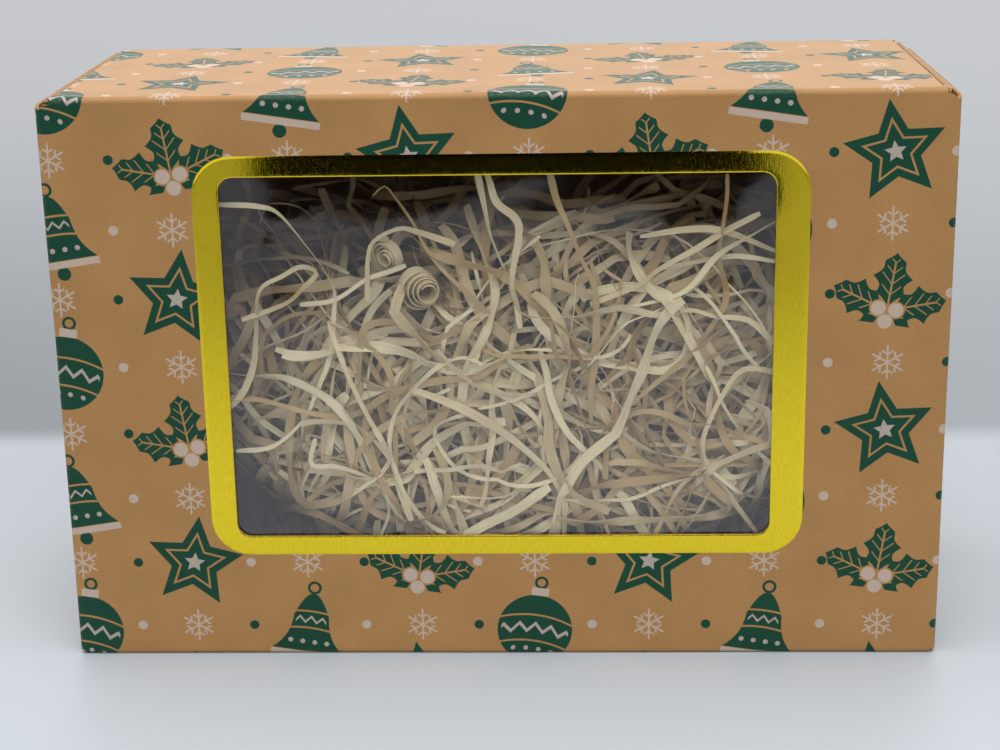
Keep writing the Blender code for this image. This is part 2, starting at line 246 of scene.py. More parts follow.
# The backdrop's painted light: a glow running from darker behind the box to paler further back, and
# lighter to the right.
near_slope = camera_place.z / (backdrop_start - camera_place.y)
far_slope = camera_place.z / (backdrop_end - camera_place.y)
rise = ramp(slope, near_slope, far_slope)
slant = (x / drop).math("MAXIMUM", -widest_slant).math("MINIMUM", widest_slant)
drift = slant * ((1.0 - rise) * (low_drift - high_drift) + high_drift) + 1.0
backdrop_colour = tint(rise, backdrop_low_colour, backdrop_high_colour)
backdrop_colour = vector_math("SCALE", backdrop_colour, at3=drift)
backdrop = node(tree, "ShaderNodeEmission", {"Color": backdrop_colour, "Strength": 1.0})
rays = node(tree, "ShaderNodeLightPath").outputs
seen = Amount(rays["Is Camera Ray"]) + Amount(rays["Is Glossy Ray"])
seen = seen.math("ADD", Amount(rays["Is Transmission Ray"]), clamp=True)
table = tint(noise(place, 2.0), floor_colour, times(floor_colour, mottle_lift))
# Painted shade: the table's colour darkens towards the camera and behind the box.
shade = ramp(depth, *near_painted_shade_range, near_painted_shade, 1.0)
shade = shade * ramp(depth, *rear_painted_shade_range, 1.0, rear_painted_shade)
table = vector_math("SCALE", table, at3=shade)
fill(shader, {"Base Color": table, "Roughness": table_roughness})
join = ramp(depth, backdrop_start - backdrop_join, backdrop_start + backdrop_join)
show_both(join * seen, shader, backdrop)
shape = bmesh.new()
bmesh.ops.create_grid(shape, x_segments=floor_squares, y_segments=floor_squares, size=floor_reach)
new_piece("floor", shape, [finish])

finish, tree, shader = new_finish("dark_card")
fill(shader, {"Base Color": dark_colour, "Specular IOR Level": 0.0})
shape = bmesh.new()
corners = [(card_left, card_foot), (card_right, card_foot), (card_right, card_top), (card_left, card_top)]
shape.faces.new([shape.verts.new((x, card_y, z)) for x, z in corners])
dark_card = new_piece("dark_card", shape, [finish])
dark_card.visible_camera = False
dark_card.visible_diffuse = False
dark_card.visible_shadow = False

world = bpy.data.worlds.new("studio")
world.use_nodes = True
fill(world.node_tree.nodes["Background"], {"Color": sky_colour, "Strength": sky_strength})
bpy.context.scene.world = world

soft_lamps = {
    "overhead_lamp": ((-0.1, -0.15, 1.6), (0, 0.05, 0), (1.5, 1.1), 15.5),
    "front_lamp": ((0.3, -1.3, 1.9), (0, 0, 0.15), (1.4, 0.8), 9.5),
    "rear_lamp": ((0.2, 2.0, 0.95), (0, 0, 0.2), (2.4, 0.9), 10.0),
}
for name, (spot, aim, size, power) in soft_lamps.items():
    data = bpy.data.lights.new(name, "AREA")
    data.shape = "RECTANGLE"
    data.size, data.size_y = size
    data.energy = power
    lamp = bpy.data.objects.new(name, data)
    bpy.context.scene.collection.objects.link(lamp)
    lamp.location = spot
    lamp.rotation_mode = "QUATERNION"
    lamp.rotation_quaternion = (Vector(aim) - Vector(spot)).to_track_quat("-Z", "Y")
    lamp.visible_camera = False

# Kraft board
# The carton is E-flute board, 1.5 mm thick, with brown kraft liners and one printed face. It
# shows its waves where it is cut. Each piece is cut flat, sliced at its folds and folded up.
board = 0.0015
liner = 0.00022
edge_inset, lip_share = 0.00012, 1.3
flute_pitch = 0.0034
flute_turn = tau / flute_pitch
fold_radius = 0.002
hinge_radius = 0.0025
mesh_step = 0.012
fold_slices = 8
kraft_colour = (0.402, 0.211, 0.075)
kraft_pale_colour = (0.56, 0.36, 0.19)
kraft_dark_colour = (0.33, 0.18, 0.07)
flute_shadow_colour = (0.25, 0.145, 0.065)
fibre_scale, cloud_scale, speck_scale = (1900.0, 1150.0, 1150.0), 34.0, (900.0, 620.0, 620.0)
speck_share = 0.42
kraft_gloss = 0.22
edge_roughness = 0.85
green_ink = (0.0035, 0.046, 0.024)
white_ink = (0.54, 0.445, 0.385)
wear_share = 0.12
print_half_width = 0.3305
print_shift = (11.0, 16.0)
column_width, row_height = 50.0, 60.0
motif_sway = 0.3
ink_softness = 0.16
line_half = 0.45
ring_half = 0.6


def inked(distance):
    """Turns a distance from a shape's outline, in mm and negative inside, into print."""
    return (distance / -ink_softness).math("ADD", 0.5, clamp=True)


def spread(across, up):
    return (across * across + up * up).math("SQRT")


def repeat(amount, step):
    return amount.math("FLOORED_MODULO", step)


def both_of(first, *others):
    for other in others:
        first = first.math("MAXIMUM", other)
    return first


def either_of(first, *others):
    for other in others:
        first = first.math("MINIMUM", other)
    return first


def bar(across, up, half_width, half_height):
    return both_of(abs(across) - half_width, abs(up) - half_height)


def zigzag(across, pitch):
    """A zigzag line's height along a row."""
    return (abs(repeat(across, pitch) - pitch / 2) - pitch / 4) * 1.1


def dot_row(across, up, pitch, radius):
    return spread(repeat(across, pitch) - pitch / 2, up) - radius


def sector(across, up, count):
    """Folds the plane into one of the equal sectors round a centre, along its middle line."""
    angle = across.math("ARCTAN2", up)
    step = tau / count
    folded = abs(repeat(angle + step / 2, step) - step / 2)
    distance = spread(across, up)
    return distance * folded.math("COSINE"), distance * folded.math("SINE")


def bauble(x, y):
    """A glass ball with a zigzag, dots and a cap. Gives its green and its white outline, in mm."""
    drop, radius = 2.5, 16.5
    ball = spread(x, y + drop) - radius
    latitude = y + drop + x * x * 0.012
    band = both_of(abs(latitude - 1.0 - zigzag(x, 7.0)) - 0.95, ball + 1.6)
    dots = both_of(dot_row(x, latitude + 9.2, 5.6, 1.05), ball + 1.8)
    lines = either_of(abs(latitude - 7.0), abs(latitude + 5.4)) - line_half
    ring = abs(spread(x, y - 20.0) - 2.4) - ring_half
    cap = bar(x, y - 15.6, 3.8, 1.9)
    return either_of(both_of(ball, -lines), ring), either_of(band, dots, cap)


def star(x, y):
    """A five-pointed star with a line inside its edge and a small star in the middle."""
    tip, valley, points = 22.0, 10.5, 5
    line_inset, small_star_inset = 3.6, 7.2
    along, side = sector(x, y, points)
    reach = Vector((valley * cos(pi / points) - tip, valley * sin(pi / points))).normalized()
    edge = (along - tip) * reach.y - side * reach.x
    return both_of(edge, -(abs(edge + line_inset) - line_half)), edge + small_star_inset


def bell(x, y):
    """A hand bell with a turned-up rim, a row of dots, a zigzag and its clapper."""
    top, foot = 15.0, 13.0
    fall = ((top - y) / (top + foot)).math("MAXIMUM", 0.0)
    dome = (fall * 2.6).math("MINIMUM", 1.0).math("SQRT") * 7.6
    half = dome + fall.math("POWER", 4.0) * 8.4
    body = both_of(abs(x) - half, y - top, -foot - y)
    curve = y + x * x * 0.010
    lines = either_of(abs(curve - 6.4), abs(curve + 1.6)) - line_half
    dots = dot_row(x, y + 8.4, 5.4, 1.1)
    chevrons = abs(curve - 2.4 - zigzag(x, 5.0)) - 0.6
    rim = bar(x, y + 14.8, 16.4, 1.5)
    clapper = spread(x, y + 18.8) - 2.9
    ring = abs(spread(x, y - 17.8) - 2.5) - ring_half
    green = either_of(both_of(body, -lines), clapper, ring)
    return green, either_of(both_of(either_of(dots, chevrons), body + 1.3), rim)


def holly(x, y):
    """Three pointed leaves with their ribs, and berries where they meet."""
    middle, half_length, half_width, berry = 13.5, 11.5, 8.4, 3.1
    low = y + 7.5
    along, side = sector(x, low, 5)
    share = (along - middle) / half_length
    spines = abs((along * pi / 7.2).math("SINE"))
    half = (1.0 - share * share) * half_width * (1.0 - spines * 0.34)
    leaf = both_of(side - half, abs(along - middle) - half_length, -6.0 - low)
    rib = both_of(side - 0.4, along - 21.0)
    veins = abs(repeat(along - side, 4.6) - 2.3) - 0.32
    leaf = both_of(leaf, -rib, -both_of(veins, leaf + 1.3))
    berries = either_of(spread(x, low + 4.8) - berry, spread(abs(x) - 3.7, low - 0.6) - berry)
    return both_of(leaf, -(berries - 0.7)), berries


def snowflake(x, y):
    arm_half, arm_length = 0.42, 7.4
    along, side = sector(x, y, 6)
    arm = both_of(side - arm_half, along - arm_length)
    barb = both_of(abs((along - 3.6) * 0.87 - side * 0.5) - arm_half, side - 2.3)
    return either_of(arm, barb)


def make_print():
    """The printed pattern as a group: where there is green ink and where there is white, from a
    place on the blank in metres. The motifs stand in columns, every second one half a row lower,
    with snowflakes and dots between them."""
    tree = bpy.data.node_groups.new("christmas_print", "ShaderNodeTree")
    tree.interface.new_socket("Place", in_out="INPUT", socket_type="NodeSocketVector")
    tree.interface.new_socket("Green", in_out="OUTPUT", socket_type="NodeSocketFloat")
    tree.interface.new_socket("White", in_out="OUTPUT", socket_type="NodeSocketFloat")
    across, up, _ = split(node(tree, "NodeGroupInput").outputs["Place"])
    across, up = across * 1000.0 + print_shift[0], up * 1000.0 + print_shift[1]
    column = (across / column_width).math("FLOOR")
    dropped = up + repeat(column, 2.0) * (row_height / 2)
    row = (dropped / row_height).math("FLOOR")
    x = repeat(across, column_width) - column_width / 2
    y = repeat(dropped, row_height) - row_height / 2
    sway = (repeat(row + column, 2.0) - 0.5) * motif_sway
    turned_x = x * sway.math("COSINE") + y * sway.math("SINE")
    turned_y = y * sway.math("COSINE") - x * sway.math("SINE")
    kind = repeat(column + row * 2.0, 4.0)
    green = white = None
    for number, motif in enumerate((bauble, holly, bell, star)):
        chosen = kind.math("COMPARE", float(number), 0.4)
        motif_green, motif_white = (inked(part) * chosen for part in motif(turned_x, turned_y))
        green = motif_green if green is None else green + motif_green
        white = motif_white if white is None else white + motif_white
    flake = inked(snowflake(x, row_height / 2 - abs(y)))
    nearest = (up / (row_height / 2)).math("ROUND")
    dot = spread(column_width / 2 - abs(x), up - nearest * (row_height / 2)) - 2.1
    is_green = repeat(nearest + (across / column_width).math("ROUND"), 2.0)
    dot = inked(dot)
    white = both_of(white, flake, dot * (1.0 - is_green))
    green = both_of(green, dot * is_green)
    node(tree, "NodeGroupOutput", {"Green": green, "White": white})
    return tree


christmas_print = make_print()


def kraft_base(place):
    """Brown kraft liner: long fibres, cloudy pulp, dark specks and a trace of the flutes under it.
    Gives its colour and the height of its surface."""
    fibre = noise(place, fibre_scale, 3.0, 0.6)
    cloud = noise(place, cloud_scale, 4.0)
    flute = (split(place)[0] * flute_turn).math("SINE")
    speck = ramp(noise(place, speck_scale, 1.0), 0.69, 0.75)
    pale = ramp(fibre + (cloud - 0.5) * 0.5 + flute * 0.008, 0.22, 0.80)
    colour = tint(pale, times(kraft_colour, 0.86), times(kraft_colour, 1.16))
    return tint(speck * speck_share, colour, kraft_dark_colour), fibre * 0.8 + flute * 0.06


def make_kraft(name, printed, blank_map=True):
    """Kraft liner, bare or printed. Its pattern lies on the flat blank, or on the object."""
    finish, tree, shader = new_finish(name)
    if blank_map:
        place = node(tree, "ShaderNodeUVMap", uv_map="blank").outputs["UV"]
    else:
        place = object_place(tree)
    colour, height = kraft_base(place)
    roughness = ramp(height, 0.3, 1.0, 0.50, 0.62)
    if printed:
        ink = node(tree, "ShaderNodeGroup", node_tree=christmas_print)
        fill(ink, {"Place": place})
        on_blank = inked((abs(split(place)[0]) - print_half_width) * 1000.0)
        cover = noise(place, 900.0, 2.0)
        green = Amount(ink.outputs["Green"]) * on_blank * ramp(cover, 0.05, 0.35, 0.93, 1.0)
        white = Amount(ink.outputs["White"]) * on_blank * ramp(cover, 0.2, 0.7, 0.62, 0.86)
        shaded = tint(noise(place, 120.0, 3.0), green_ink, times(green_ink, 1.4))
        colour = tint(white, tint(green, colour, shaded), white_ink)
        worn = Amount(node(tree, "ShaderNodeAttribute", attribute_name="crease").outputs["Fac"])
        worn = ramp(worn, 0.35, 1.0) * ramp(noise(place, (900.0, 900.0, 1.0), 3.0), 0.46, 0.68)
        colour = tint(worn * wear_share, colour, kraft_pale_colour)
        height = height + green * 0.35 + white * 0.35
        roughness = roughness - green * 0.03
    fill(shader, {"Base Color": colour, "Roughness": roughness, "Specular IOR Level": kraft_gloss})
    fill(shader, {"Normal": bump(height, 0.35, 0.00005)})
    return finish


def make_cut_edge():
    """The cut edge of fluted board: two liners with the wave between them."""
    finish, tree, shader = new_finish("cut_board_edge")
    place = node(tree, "ShaderNodeUVMap", uv_map="edge").outputs["UV"]
    along, across, _ = split(place)
    wave = (along * flute_turn).math("SINE") * 0.33
    paper = ramp(abs(across - 0.5 - wave), 0.10, 0.17, 1.0, 0.0)
    solid = both_of(paper, ramp(abs(across - 0.5), 0.30, 0.36))
    solid = solid * ramp(noise(place, (1200.0, 6.0, 1.0), 2.0), 0.2, 0.6, 0.75, 1.0)
    colour = tint(solid, flute_shadow_colour, kraft_pale_colour)
    fill(shader, {"Base Color": colour, "Roughness": edge_roughness})
    fill(shader, {"Normal": bump(solid, 0.6, 0.0003)})
    return finish


printed_kraft = make_kraft("printed_kraft", True)
plain_kraft = make_kraft("plain_kraft", False)
cut_edge = make_cut_edge()

fold_arc, hinge_arc = fold_radius * pi / 2, hinge_radius * pi / 2
fold, hinge_fold = (fold_arc, pi / 2), (hinge_arc, pi / 2)
wave_heights = (0.00011, 0.00004)
smooth_angle = 40


def walk(path, distance):
    """Where a distance along a folded path ends: its place in the path's plane and its heading.
    A path is its start and its legs, each a length and how far it bends."""
    (a, b), legs = path
    heading = 0.0
    for number, (length, bend) in enumerate(legs):
        part = distance if distance < length or number == len(legs) - 1 else length
        if bend:
            radius = length / bend
            after = heading + bend * part / length
            a += radius * (sin(after) - sin(heading))
            b -= radius * (cos(after) - cos(heading))
            heading = after
        else:
            a += part * cos(heading)
            b += part * sin(heading)
        distance -= part
        if distance <= 0:
            break
    return a, b, heading


def fold_cuts(start, arc=fold_arc):
    """Slices through a fold, from its start on the flat blank, and one on either side of it."""
    through = [start + arc * step / fold_slices for step in range(fold_slices + 1)]
    return through + [start - arc / 2, start + 1.5 * arc]


def even_cuts(low, high):
    count = max(2, round((high - low) / mesh_step))
    return [low + (high - low) * step / count for step in range(1, count)]


def both_sides(cuts):
    return cuts + [-cut for cut in cuts]


def fold_wear(distance, starts, arc=fold_arc):
    """How near a distance lies to the middle of a fold, from 0 to 1."""
    return max(0.0, *(1 - abs(distance - start - arc / 2) / arc for start in starts))


def rectangle(low_s, low_t, high_s, high_t):
    return [(low_s, low_t), (high_s, low_t), (high_s, high_t), (low_s, high_t)]


def mirrored(half, sign_s, sign_t):
    """Completes an outline with its mirror image."""
    return half + [(sign_s * s, sign_t * t) for s, t in reversed(half)]


def ripple(u, v):
    """Board is never quite flat: a slight wave in the blank, in metres."""
    slow = sin(31 * u + 1.1) * cos(26 * v + 0.4)
    quick = sin(74 * u - 52 * v + 2.0)
    return wave_heights[0] * slow + wave_heights[1] * quick


def lay_flat(outline, holes, cuts_s, cuts_t):
    """A flat sheet with holes, sliced both ways so that it can bend."""
    shape = bmesh.new()
    edges = []
    for loop in [outline, *holes]:
        verts = [shape.verts.new((s, t, 0)) for s, t in loop]
        edges += [shape.edges.new(pair) for pair in zip(verts, verts[1:] + verts[:1])]
    bmesh.ops.triangle_fill(shape, use_beauty=True, edges=edges, normal=(0, 0, 1))
    for axis, cuts in ((0, cuts_s), (1, cuts_t)):
        for cut in cuts:
            spot, facing = Vector(), Vector()
            spot[axis], facing[axis] = cut, 1
            geometry = shape.verts[:] + shape.edges[:] + shape.faces[:]
            bmesh.ops.bisect_plane(shape, geom=geometry, plane_co=spot, plane_no=facing, dist=1e-6)
    slanting = []
    for edge in shape.edges:
        reach = edge.verts[1].co - edge.verts[0].co
        if len(edge.link_faces) == 2 and min(abs(reach.x), abs(reach.y)) > 1e-6:
            slanting.append(edge)
    bmesh.ops.dissolve_edges(shape, edges=slanting, use_verts=False)
    bmesh.ops.remove_doubles(shape, verts=shape.verts[:], dist=1e-6)
    shape.verts.index_update()
    shape.edges.index_update()
    return shape


def edge_walk(shape):
    """The way into a sheet from each vertex of its outline, and the outline's steps: their two
    vertices and how far along the outline these lie."""
    inward, steps = {}, []
    loose = {edge for edge in shape.edges if len(edge.link_faces) == 1}
    while loose:
        edge = min(loose, key=lambda item: item.index)
        start = vert = edge.verts[0]
        travelled = 0.0
        while edge:
            loose.discard(edge)
            following = edge.other_vert(vert)
            reach = following.co - vert.co
            steps.append((vert, following, travelled, travelled + reach.length))
            travelled += reach.length
            reach.normalize()
            middle = edge.link_faces[0].calc_center_median() - (vert.co + following.co) / 2
            across = (middle - reach * middle.dot(reach)).normalized()
            for corner in (vert, following):
                inward[corner] = inward.get(corner, Vector()) + across
            vert = following
            edge = None if vert == start else next(item for item in vert.link_edges if item in loose)
    return inward, steps


def fold_board(name, outline, cuts_s, cuts_t, stand, blank, crease=None, holes=()):
    """Cuts a piece of board and folds it. stand gives the place and the outward direction of a
    point of the flat sheet, blank its place on the print, and crease how near a fold it lies."""
    flat = lay_flat(outline, holes, cuts_s, cuts_t)
    solid = bmesh.new()
    print_map = solid.loops.layers.uv.new("blank")
    edge_map = solid.loops.layers.uv.new("edge")
    wear = solid.verts.layers.float.new("crease")
    flat_spots = {}

    def point(s, t, depth):
        spot, outward = stand(s, t)
        made = solid.verts.new(spot + outward * (ripple(*blank(s, t)) - depth))
        made[wear] = crease(s, t) if crease else 0.0
        flat_spots[made] = (s, t)
        return made

    outer = {vert: point(vert.co.x, vert.co.y, 0) for vert in flat.verts}
    inner = {vert: point(vert.co.x, vert.co.y, board) for vert in flat.verts}
    for face in flat.faces:
        for number, layer in enumerate((outer, inner)):
            made = solid.faces.new([layer[vert] for vert in face.verts])
            made.material_index = number
            for loop in made.loops:
                loop[print_map].uv = blank(*flat_spots[loop.vert])
    inward, steps = edge_walk(flat)
    lip = lip_share * liner
    levels = [(liner, 0), (lip, edge_inset), (board - lip, edge_inset), (board - liner, 0)]
    rings = {}
    for vert, way in inward.items():
        spots = [vert.co + way.normalized() * inset for depth, inset in levels]
        ring = [point(spot.x, spot.y, depth) for spot, (depth, inset) in zip(spots, levels)]
        rings[vert] = [outer[vert], *ring, inner[vert]]
    shares = [0, *(depth / board for depth, inset in levels), 1]
    for first, second, start, end in steps:
        middle = (first.co + second.co) / 2
        for level in range(len(shares) - 1):
            corners = [(first, level, start), (second, level, end)]
            corners += [(second, level + 1, end), (first, level + 1, start)]
            side = solid.faces.new([rings[vert][height] for vert, height, along in corners])
            side.material_index = 2
            for loop, (vert, height, along) in zip(side.loops, corners):
                loop[edge_map].uv = (along, shares[height])
                loop[print_map].uv = blank(middle.x, middle.y)
    flat.free()
    bmesh.ops.recalc_face_normals(solid, faces=solid.faces[:])
    return new_piece(name, solid, (printed_kraft, plain_kraft, cut_edge), smooth_angle)


# Tray
# The tray is the lower half of the blank: the base, its four walls and their folds. Its sides
# roll over double, and their linings lock into slots in the base, so that it needs no glue.
face_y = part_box("lid_panel")[0].y
base_low, base_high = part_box("base_panel")
wall_low, wall_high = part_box("right_side_wall")
lining_low, lining_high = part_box("right_side_lining")
back_y, tray_half = base_high.y, wall_high.x
top_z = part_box("rear_wall")[1].z
tray_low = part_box("front_wall")[0].z
rim_face_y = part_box("right_side_rim")[0].y
seam = 0.001
slip = 0.0003
notch = 0.0022
ear = 0.0027
rim_step = 0.0008
lock_half = 0.020
lock_spacing = 0.130

rear_length = back_y - fold_radius - (face_y + hinge_radius)
base_length = top_z - fold_radius - (tray_low + fold_radius)
front_length = back_y - fold_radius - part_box("front_wall")[0].y
down_the_back = (
    (top_z - hinge_radius, face_y),
    [hinge_fold, (rear_length, 0), fold, (base_length, 0), fold, (front_length, 0)],
)
rear_end = hinge_arc + rear_length
base_start = rear_end + fold_arc
base_end = base_start + base_length
front_start = base_end + fold_arc
front_end = front_start + front_length

base_half = tray_half - fold_radius
side_length = (back_y - fold_radius) - (rim_face_y + fold_radius)
rim_length = tray_half - lining_low.x - 2 * fold_radius
round_the_side = (
    (0.0, -back_y),
    [(base_half, 0), fold, (side_length, 0), fold, (rim_length, 0), fold, (side_length, 0)],
)
side_start = base_half + fold_arc
side_end = side_start + side_length
rim_end = side_end + 2 * fold_arc + rim_length
lock_end = rim_end + side_length + fold_radius
lining_end = lock_end - board - slip
tray_creases = [rear_end, base_end]
side_creases = [base_half, side_end, rim_end - fold_arc]


def stand_down(s, t):
    """On the strip over the top and down the back: t across, s from the hinge."""
    a, b, heading = walk(down_the_back, s)
    return Vector((t, b, a)), Vector((0, -cos(heading), sin(heading)))


def blank_down(s, t):
    return t, top_z - hinge_radius + s


def down_to(height):
    """The distance down the back of a height on the base."""
    return base_start + (top_z - fold_radius - height)


def stand_side(side, s, height):
    """On the strip round a side: s from the middle of the base, at a height from the floor."""
    a, b, heading = walk(round_the_side, s)
    return Vector((side * a, -b, height)), Vector((side * sin(heading), cos(heading), 0))


def blank_side(side, s, height):
    return side * s, top_z - hinge_radius + down_to(height)


def stand_base(s, t):
    """The base with its folds: s down the back, t across, bent round at the two sides."""
    if abs(t) <= base_half:
        return stand_down(s, t)
    return stand_side(1 if t > 0 else -1, abs(t), walk(down_the_back, s)[0])


rear_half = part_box("rear_wall")[1].x
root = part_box("rear_right_corner_tab")[1].x - fold_radius
rear_outline = [
    (hinge_arc + slip, -rear_half),
    (hinge_arc + ear, -rear_half),
    (hinge_arc + ear, -root),
    (rear_end - ear, -root),
    (rear_end - ear, -rear_half),
    (base_start + seam, -rear_half),
]
rear = fold_board(
    "printed_rear_wall",
    mirrored(rear_outline, 1, -1),
    even_cuts(hinge_arc, rear_end) + fold_cuts(rear_end),
    even_cuts(-rear_half, rear_half),
    stand_down,
    blank_down,
    lambda s, t: fold_wear(s, tray_creases),
)
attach(rear, "tray")
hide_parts("rear_wall", "rear_crease")

slot_half = (lining_high.x - lining_low.x) / 2 + slip
slot_middle = (lining_high.x + lining_low.x) / 2
lock_heights = [(tray_low + top_z) / 2 + share * lock_spacing for share in (-0.5, 0.5)]
slots = []
for x in (-slot_middle, slot_middle):
    for height in lock_heights:
        start, end = down_to(height + lock_half + slip), down_to(height - lock_half - slip)
        slots.append(rectangle(start, x - slot_half, end, x + slot_half))
base_outline = [
    (base_start + seam, -base_half),
    (down_to(base_high.z), -base_half),
    (down_to(base_high.z), -side_start - seam),
    (down_to(base_low.z), -side_start - seam),
    (down_to(base_low.z), -base_half),
    (base_end + fold_arc + seam, -base_half),
]
base = fold_board(
    "printed_base",
    mirrored(base_outline, 1, -1),
    even_cuts(base_start, base_end) + fold_cuts(base_end),
    even_cuts(-base_half, base_half) + both_sides(fold_cuts(base_half)),
    stand_base,
    blank_down,
    lambda s, t: max(fold_wear(s, tray_creases), fold_wear(abs(t), side_creases)),
    slots,
)
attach(base, "tray")
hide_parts("base_panel", "front_crease", "left_crease", "right_crease")

front_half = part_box("front_wall")[1].x
front_outline = [
    (front_start + seam, -front_half),
    (front_start + ear, -front_half),
    (front_start + ear, -root),
    (front_end, -root),
]
front = fold_board(
    "printed_front_wall",
    mirrored(front_outline, 1, -1),
    even_cuts(front_start, front_end),
    even_cuts(-front_half, front_half),
    stand_down,
    blank_down,
)
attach(front, "tray")
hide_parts("front_wall")

for side, name in ((-1, "left"), (1, "right")):
    outline = [
        (side_start + seam, base_low.z),
        (side_start + seam + notch, wall_low.z),
        (side_end, wall_low.z),
        (side_end + rim_step, lining_low.z),
        (lining_end, lining_low.z),
    ]
    for height in lock_heights:
        outline += rectangle(lining_end, height - lock_half, lock_end, height + lock_half)
    outline += [
        (lining_end, lining_high.z),
        (side_end + rim_step, lining_high.z),
        (side_end, wall_high.z),
        (side_start + seam + notch, wall_high.z),
        (side_start + seam, base_high.z),
    ]
    rim_cuts = fold_cuts(side_end) + fold_cuts(rim_end - fold_arc)
    wall = fold_board(
        f"rolled_{name}_side",
        outline,
        even_cuts(side_start, side_end) + rim_cuts + even_cuts(rim_end, lining_end),
        even_cuts(lining_low.z, lining_high.z),
        lambda s, t: stand_side(side, s, t),
        lambda s, t: blank_side(side, s, t),
        lambda s, t: fold_wear(s, side_creases),
    )
    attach(wall, "tray")
    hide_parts(f"{name}_side_wall", f"{name}_side_rim", f"{name}_side_lining")

# The corner tabs stay as they come from the CAD model, in bare kraft.
tab_kraft = make_kraft("tab_kraft", False, blank_map=False)
for wall in ("rear", "front"):
    for side in ("left", "right"):
        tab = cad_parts[f"{wall}_{side}_corner_tab"]
        tab.data.materials.clear()
        tab.data.materials.append(tab_kraft)

# Hinge
# The lid and the tray are one blank, so the lid turns on a crease along the top front edge. The
# crease is a strip of the same board that bends between the two.
hinge_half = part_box("hinge_crease")[1].x
hinge = fold_board(
    "printed_hinge_crease",
    rectangle(-slip, -hinge_half, hinge_arc + slip, hinge_half),
    fold_cuts(0, hinge_arc),
    even_cuts(-hinge_half, hinge_half),
    stand_down,
    blank_down,
    lambda s, t: fold_wear(s, [0], hinge_arc),
)
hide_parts("hinge_crease")
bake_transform(hinge)

# Lid
# The window panel with its front flange and two side flanges, as deep as the tray. The flanges
# are creased over, and the front flange's end tabs are glued inside the side flanges.
flange_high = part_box("lid_right_flange")[1]
panel_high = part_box("lid_panel")[1].z
window_low, window_high = Vector((-0.116, 0.056)), Vector((0.116, 0.216))
window_radius = 0.006
shoulder, shoulder_steps = 0.002, 6
flange_corner, corner_steps = 0.010, 8
tab_taper = 0.78
flat_half = flange_high.x - fold_radius
flange_length = flange_high.y - (face_y + fold_radius)
flange_start = flat_half + fold_arc
flange_end = flange_start + flange_length
under_end = fold_radius - fold_arc
front_reach = under_end - flange_length
round_the_lid = ((0.0, face_y), [(flat_half, 0), fold, (flange_length, 0)])
under_the_lid = ((-fold_radius, face_y), [fold, (flange_length, 0)])


def stand_lid(s, t):
    """On the lid: s across and round its sides, t up from the floor and negative under it."""
    if abs(s) > flat_half:
        a, b, heading = walk(round_the_lid, abs(s))
        side = 1 if s > 0 else -1
        return Vector((side * a, b, t)), Vector((side * sin(heading), -cos(heading), 0))
    if t < fold_radius:
        a, b, heading = walk(under_the_lid, fold_radius - t)
        return Vector((s, b, -a)), Vector((0, -cos(heading), -sin(heading)))
    return Vector((s, face_y, t)), Vector((0, -1, 0))


def blank_lid(s, t):
    return s, t


def round_corner(s, t, radius, steps):
    """The quarter circle that takes the place of a square corner."""
    angles = [pi / 2 * step / steps for step in range(steps + 1)]
    return [(s - radius + radius * cos(angle), t - radius + radius * sin(angle)) for angle in angles]


def round_loop(low, high, radius, arc_steps=8, side_counts=(20, 14)):
    """A rectangle with round corners, anticlockwise, with points along its sides."""
    low, high = low + Vector((radius, radius)), high - Vector((radius, radius))
    centres = [low, Vector((high.x, low.y)), high, Vector((low.x, high.y))]
    points = []
    for corner, centre in enumerate(centres):
        start = pi + corner * pi / 2
        for step in range(arc_steps + 1):
            angle = start + pi / 2 * step / arc_steps
            points.append(centre + radius * Vector((cos(angle), sin(angle))))
        reach = radius * Vector((cos(start + pi / 2), sin(start + pi / 2)))
        first, last = centre + reach, centres[(corner + 1) % 4] + reach
        count = side_counts[corner % 2]
        points += [first.lerp(last, step / count) for step in range(1, count)]
    return points


window_loop = round_loop(window_low, window_high, window_radius)
lid_outline = [
    (flat_half - slip, under_end - seam),
    (flat_half - slip, fold_radius),
    (flange_start + seam, fold_radius + slip),
    (flange_start + seam, flange_high.z),
    *round_corner(flat_half, panel_high, shoulder, shoulder_steps),
]
lid = fold_board(
    "printed_lid_panel",
    mirrored(lid_outline, -1, 1),
    even_cuts(-flat_half, flat_half) + both_sides(fold_cuts(flat_half)),
    even_cuts(fold_radius, panel_high) + [fold_radius - cut for cut in fold_cuts(0)],
    stand_lid,
    blank_lid,
    lambda s, t: max(fold_wear(abs(s), [flat_half]), fold_wear(fold_radius - t, [0])),
    [window_loop],
)
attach(lid, "lid")
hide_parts("lid_panel", "lid_front_crease", "lid_left_crease", "lid_right_crease")

flange_outline = [
    (flange_start + seam, fold_radius + slip),
    (flange_start + seam + notch, slip),
    (flange_end, slip),
    *round_corner(flange_end, flange_high.z, flange_corner, corner_steps),
    (flange_start + seam, flange_high.z),
]
for side, name in ((-1, "left"), (1, "right")):
    flange = fold_board(
        f"printed_{name}_flange",
        [(side * s, t) for s, t in flange_outline],
        [side * cut for cut in even_cuts(flange_start, flange_end)],
        even_cuts(fold_radius, flange_high.z),
        stand_lid,
        blank_lid,
    )
    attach(flange, "lid")
    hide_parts(f"lid_{name}_flange")

glue_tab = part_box("lid_right_glue_tab")[1]
tab_root = glue_tab.x - fold_radius
tab_end = tab_root + fold_arc + glue_tab.z - fold_radius
tab_middle = under_end + face_y + fold_radius
up_the_tab = ((tab_root, 0.0), [fold, (glue_tab.z, 0)])


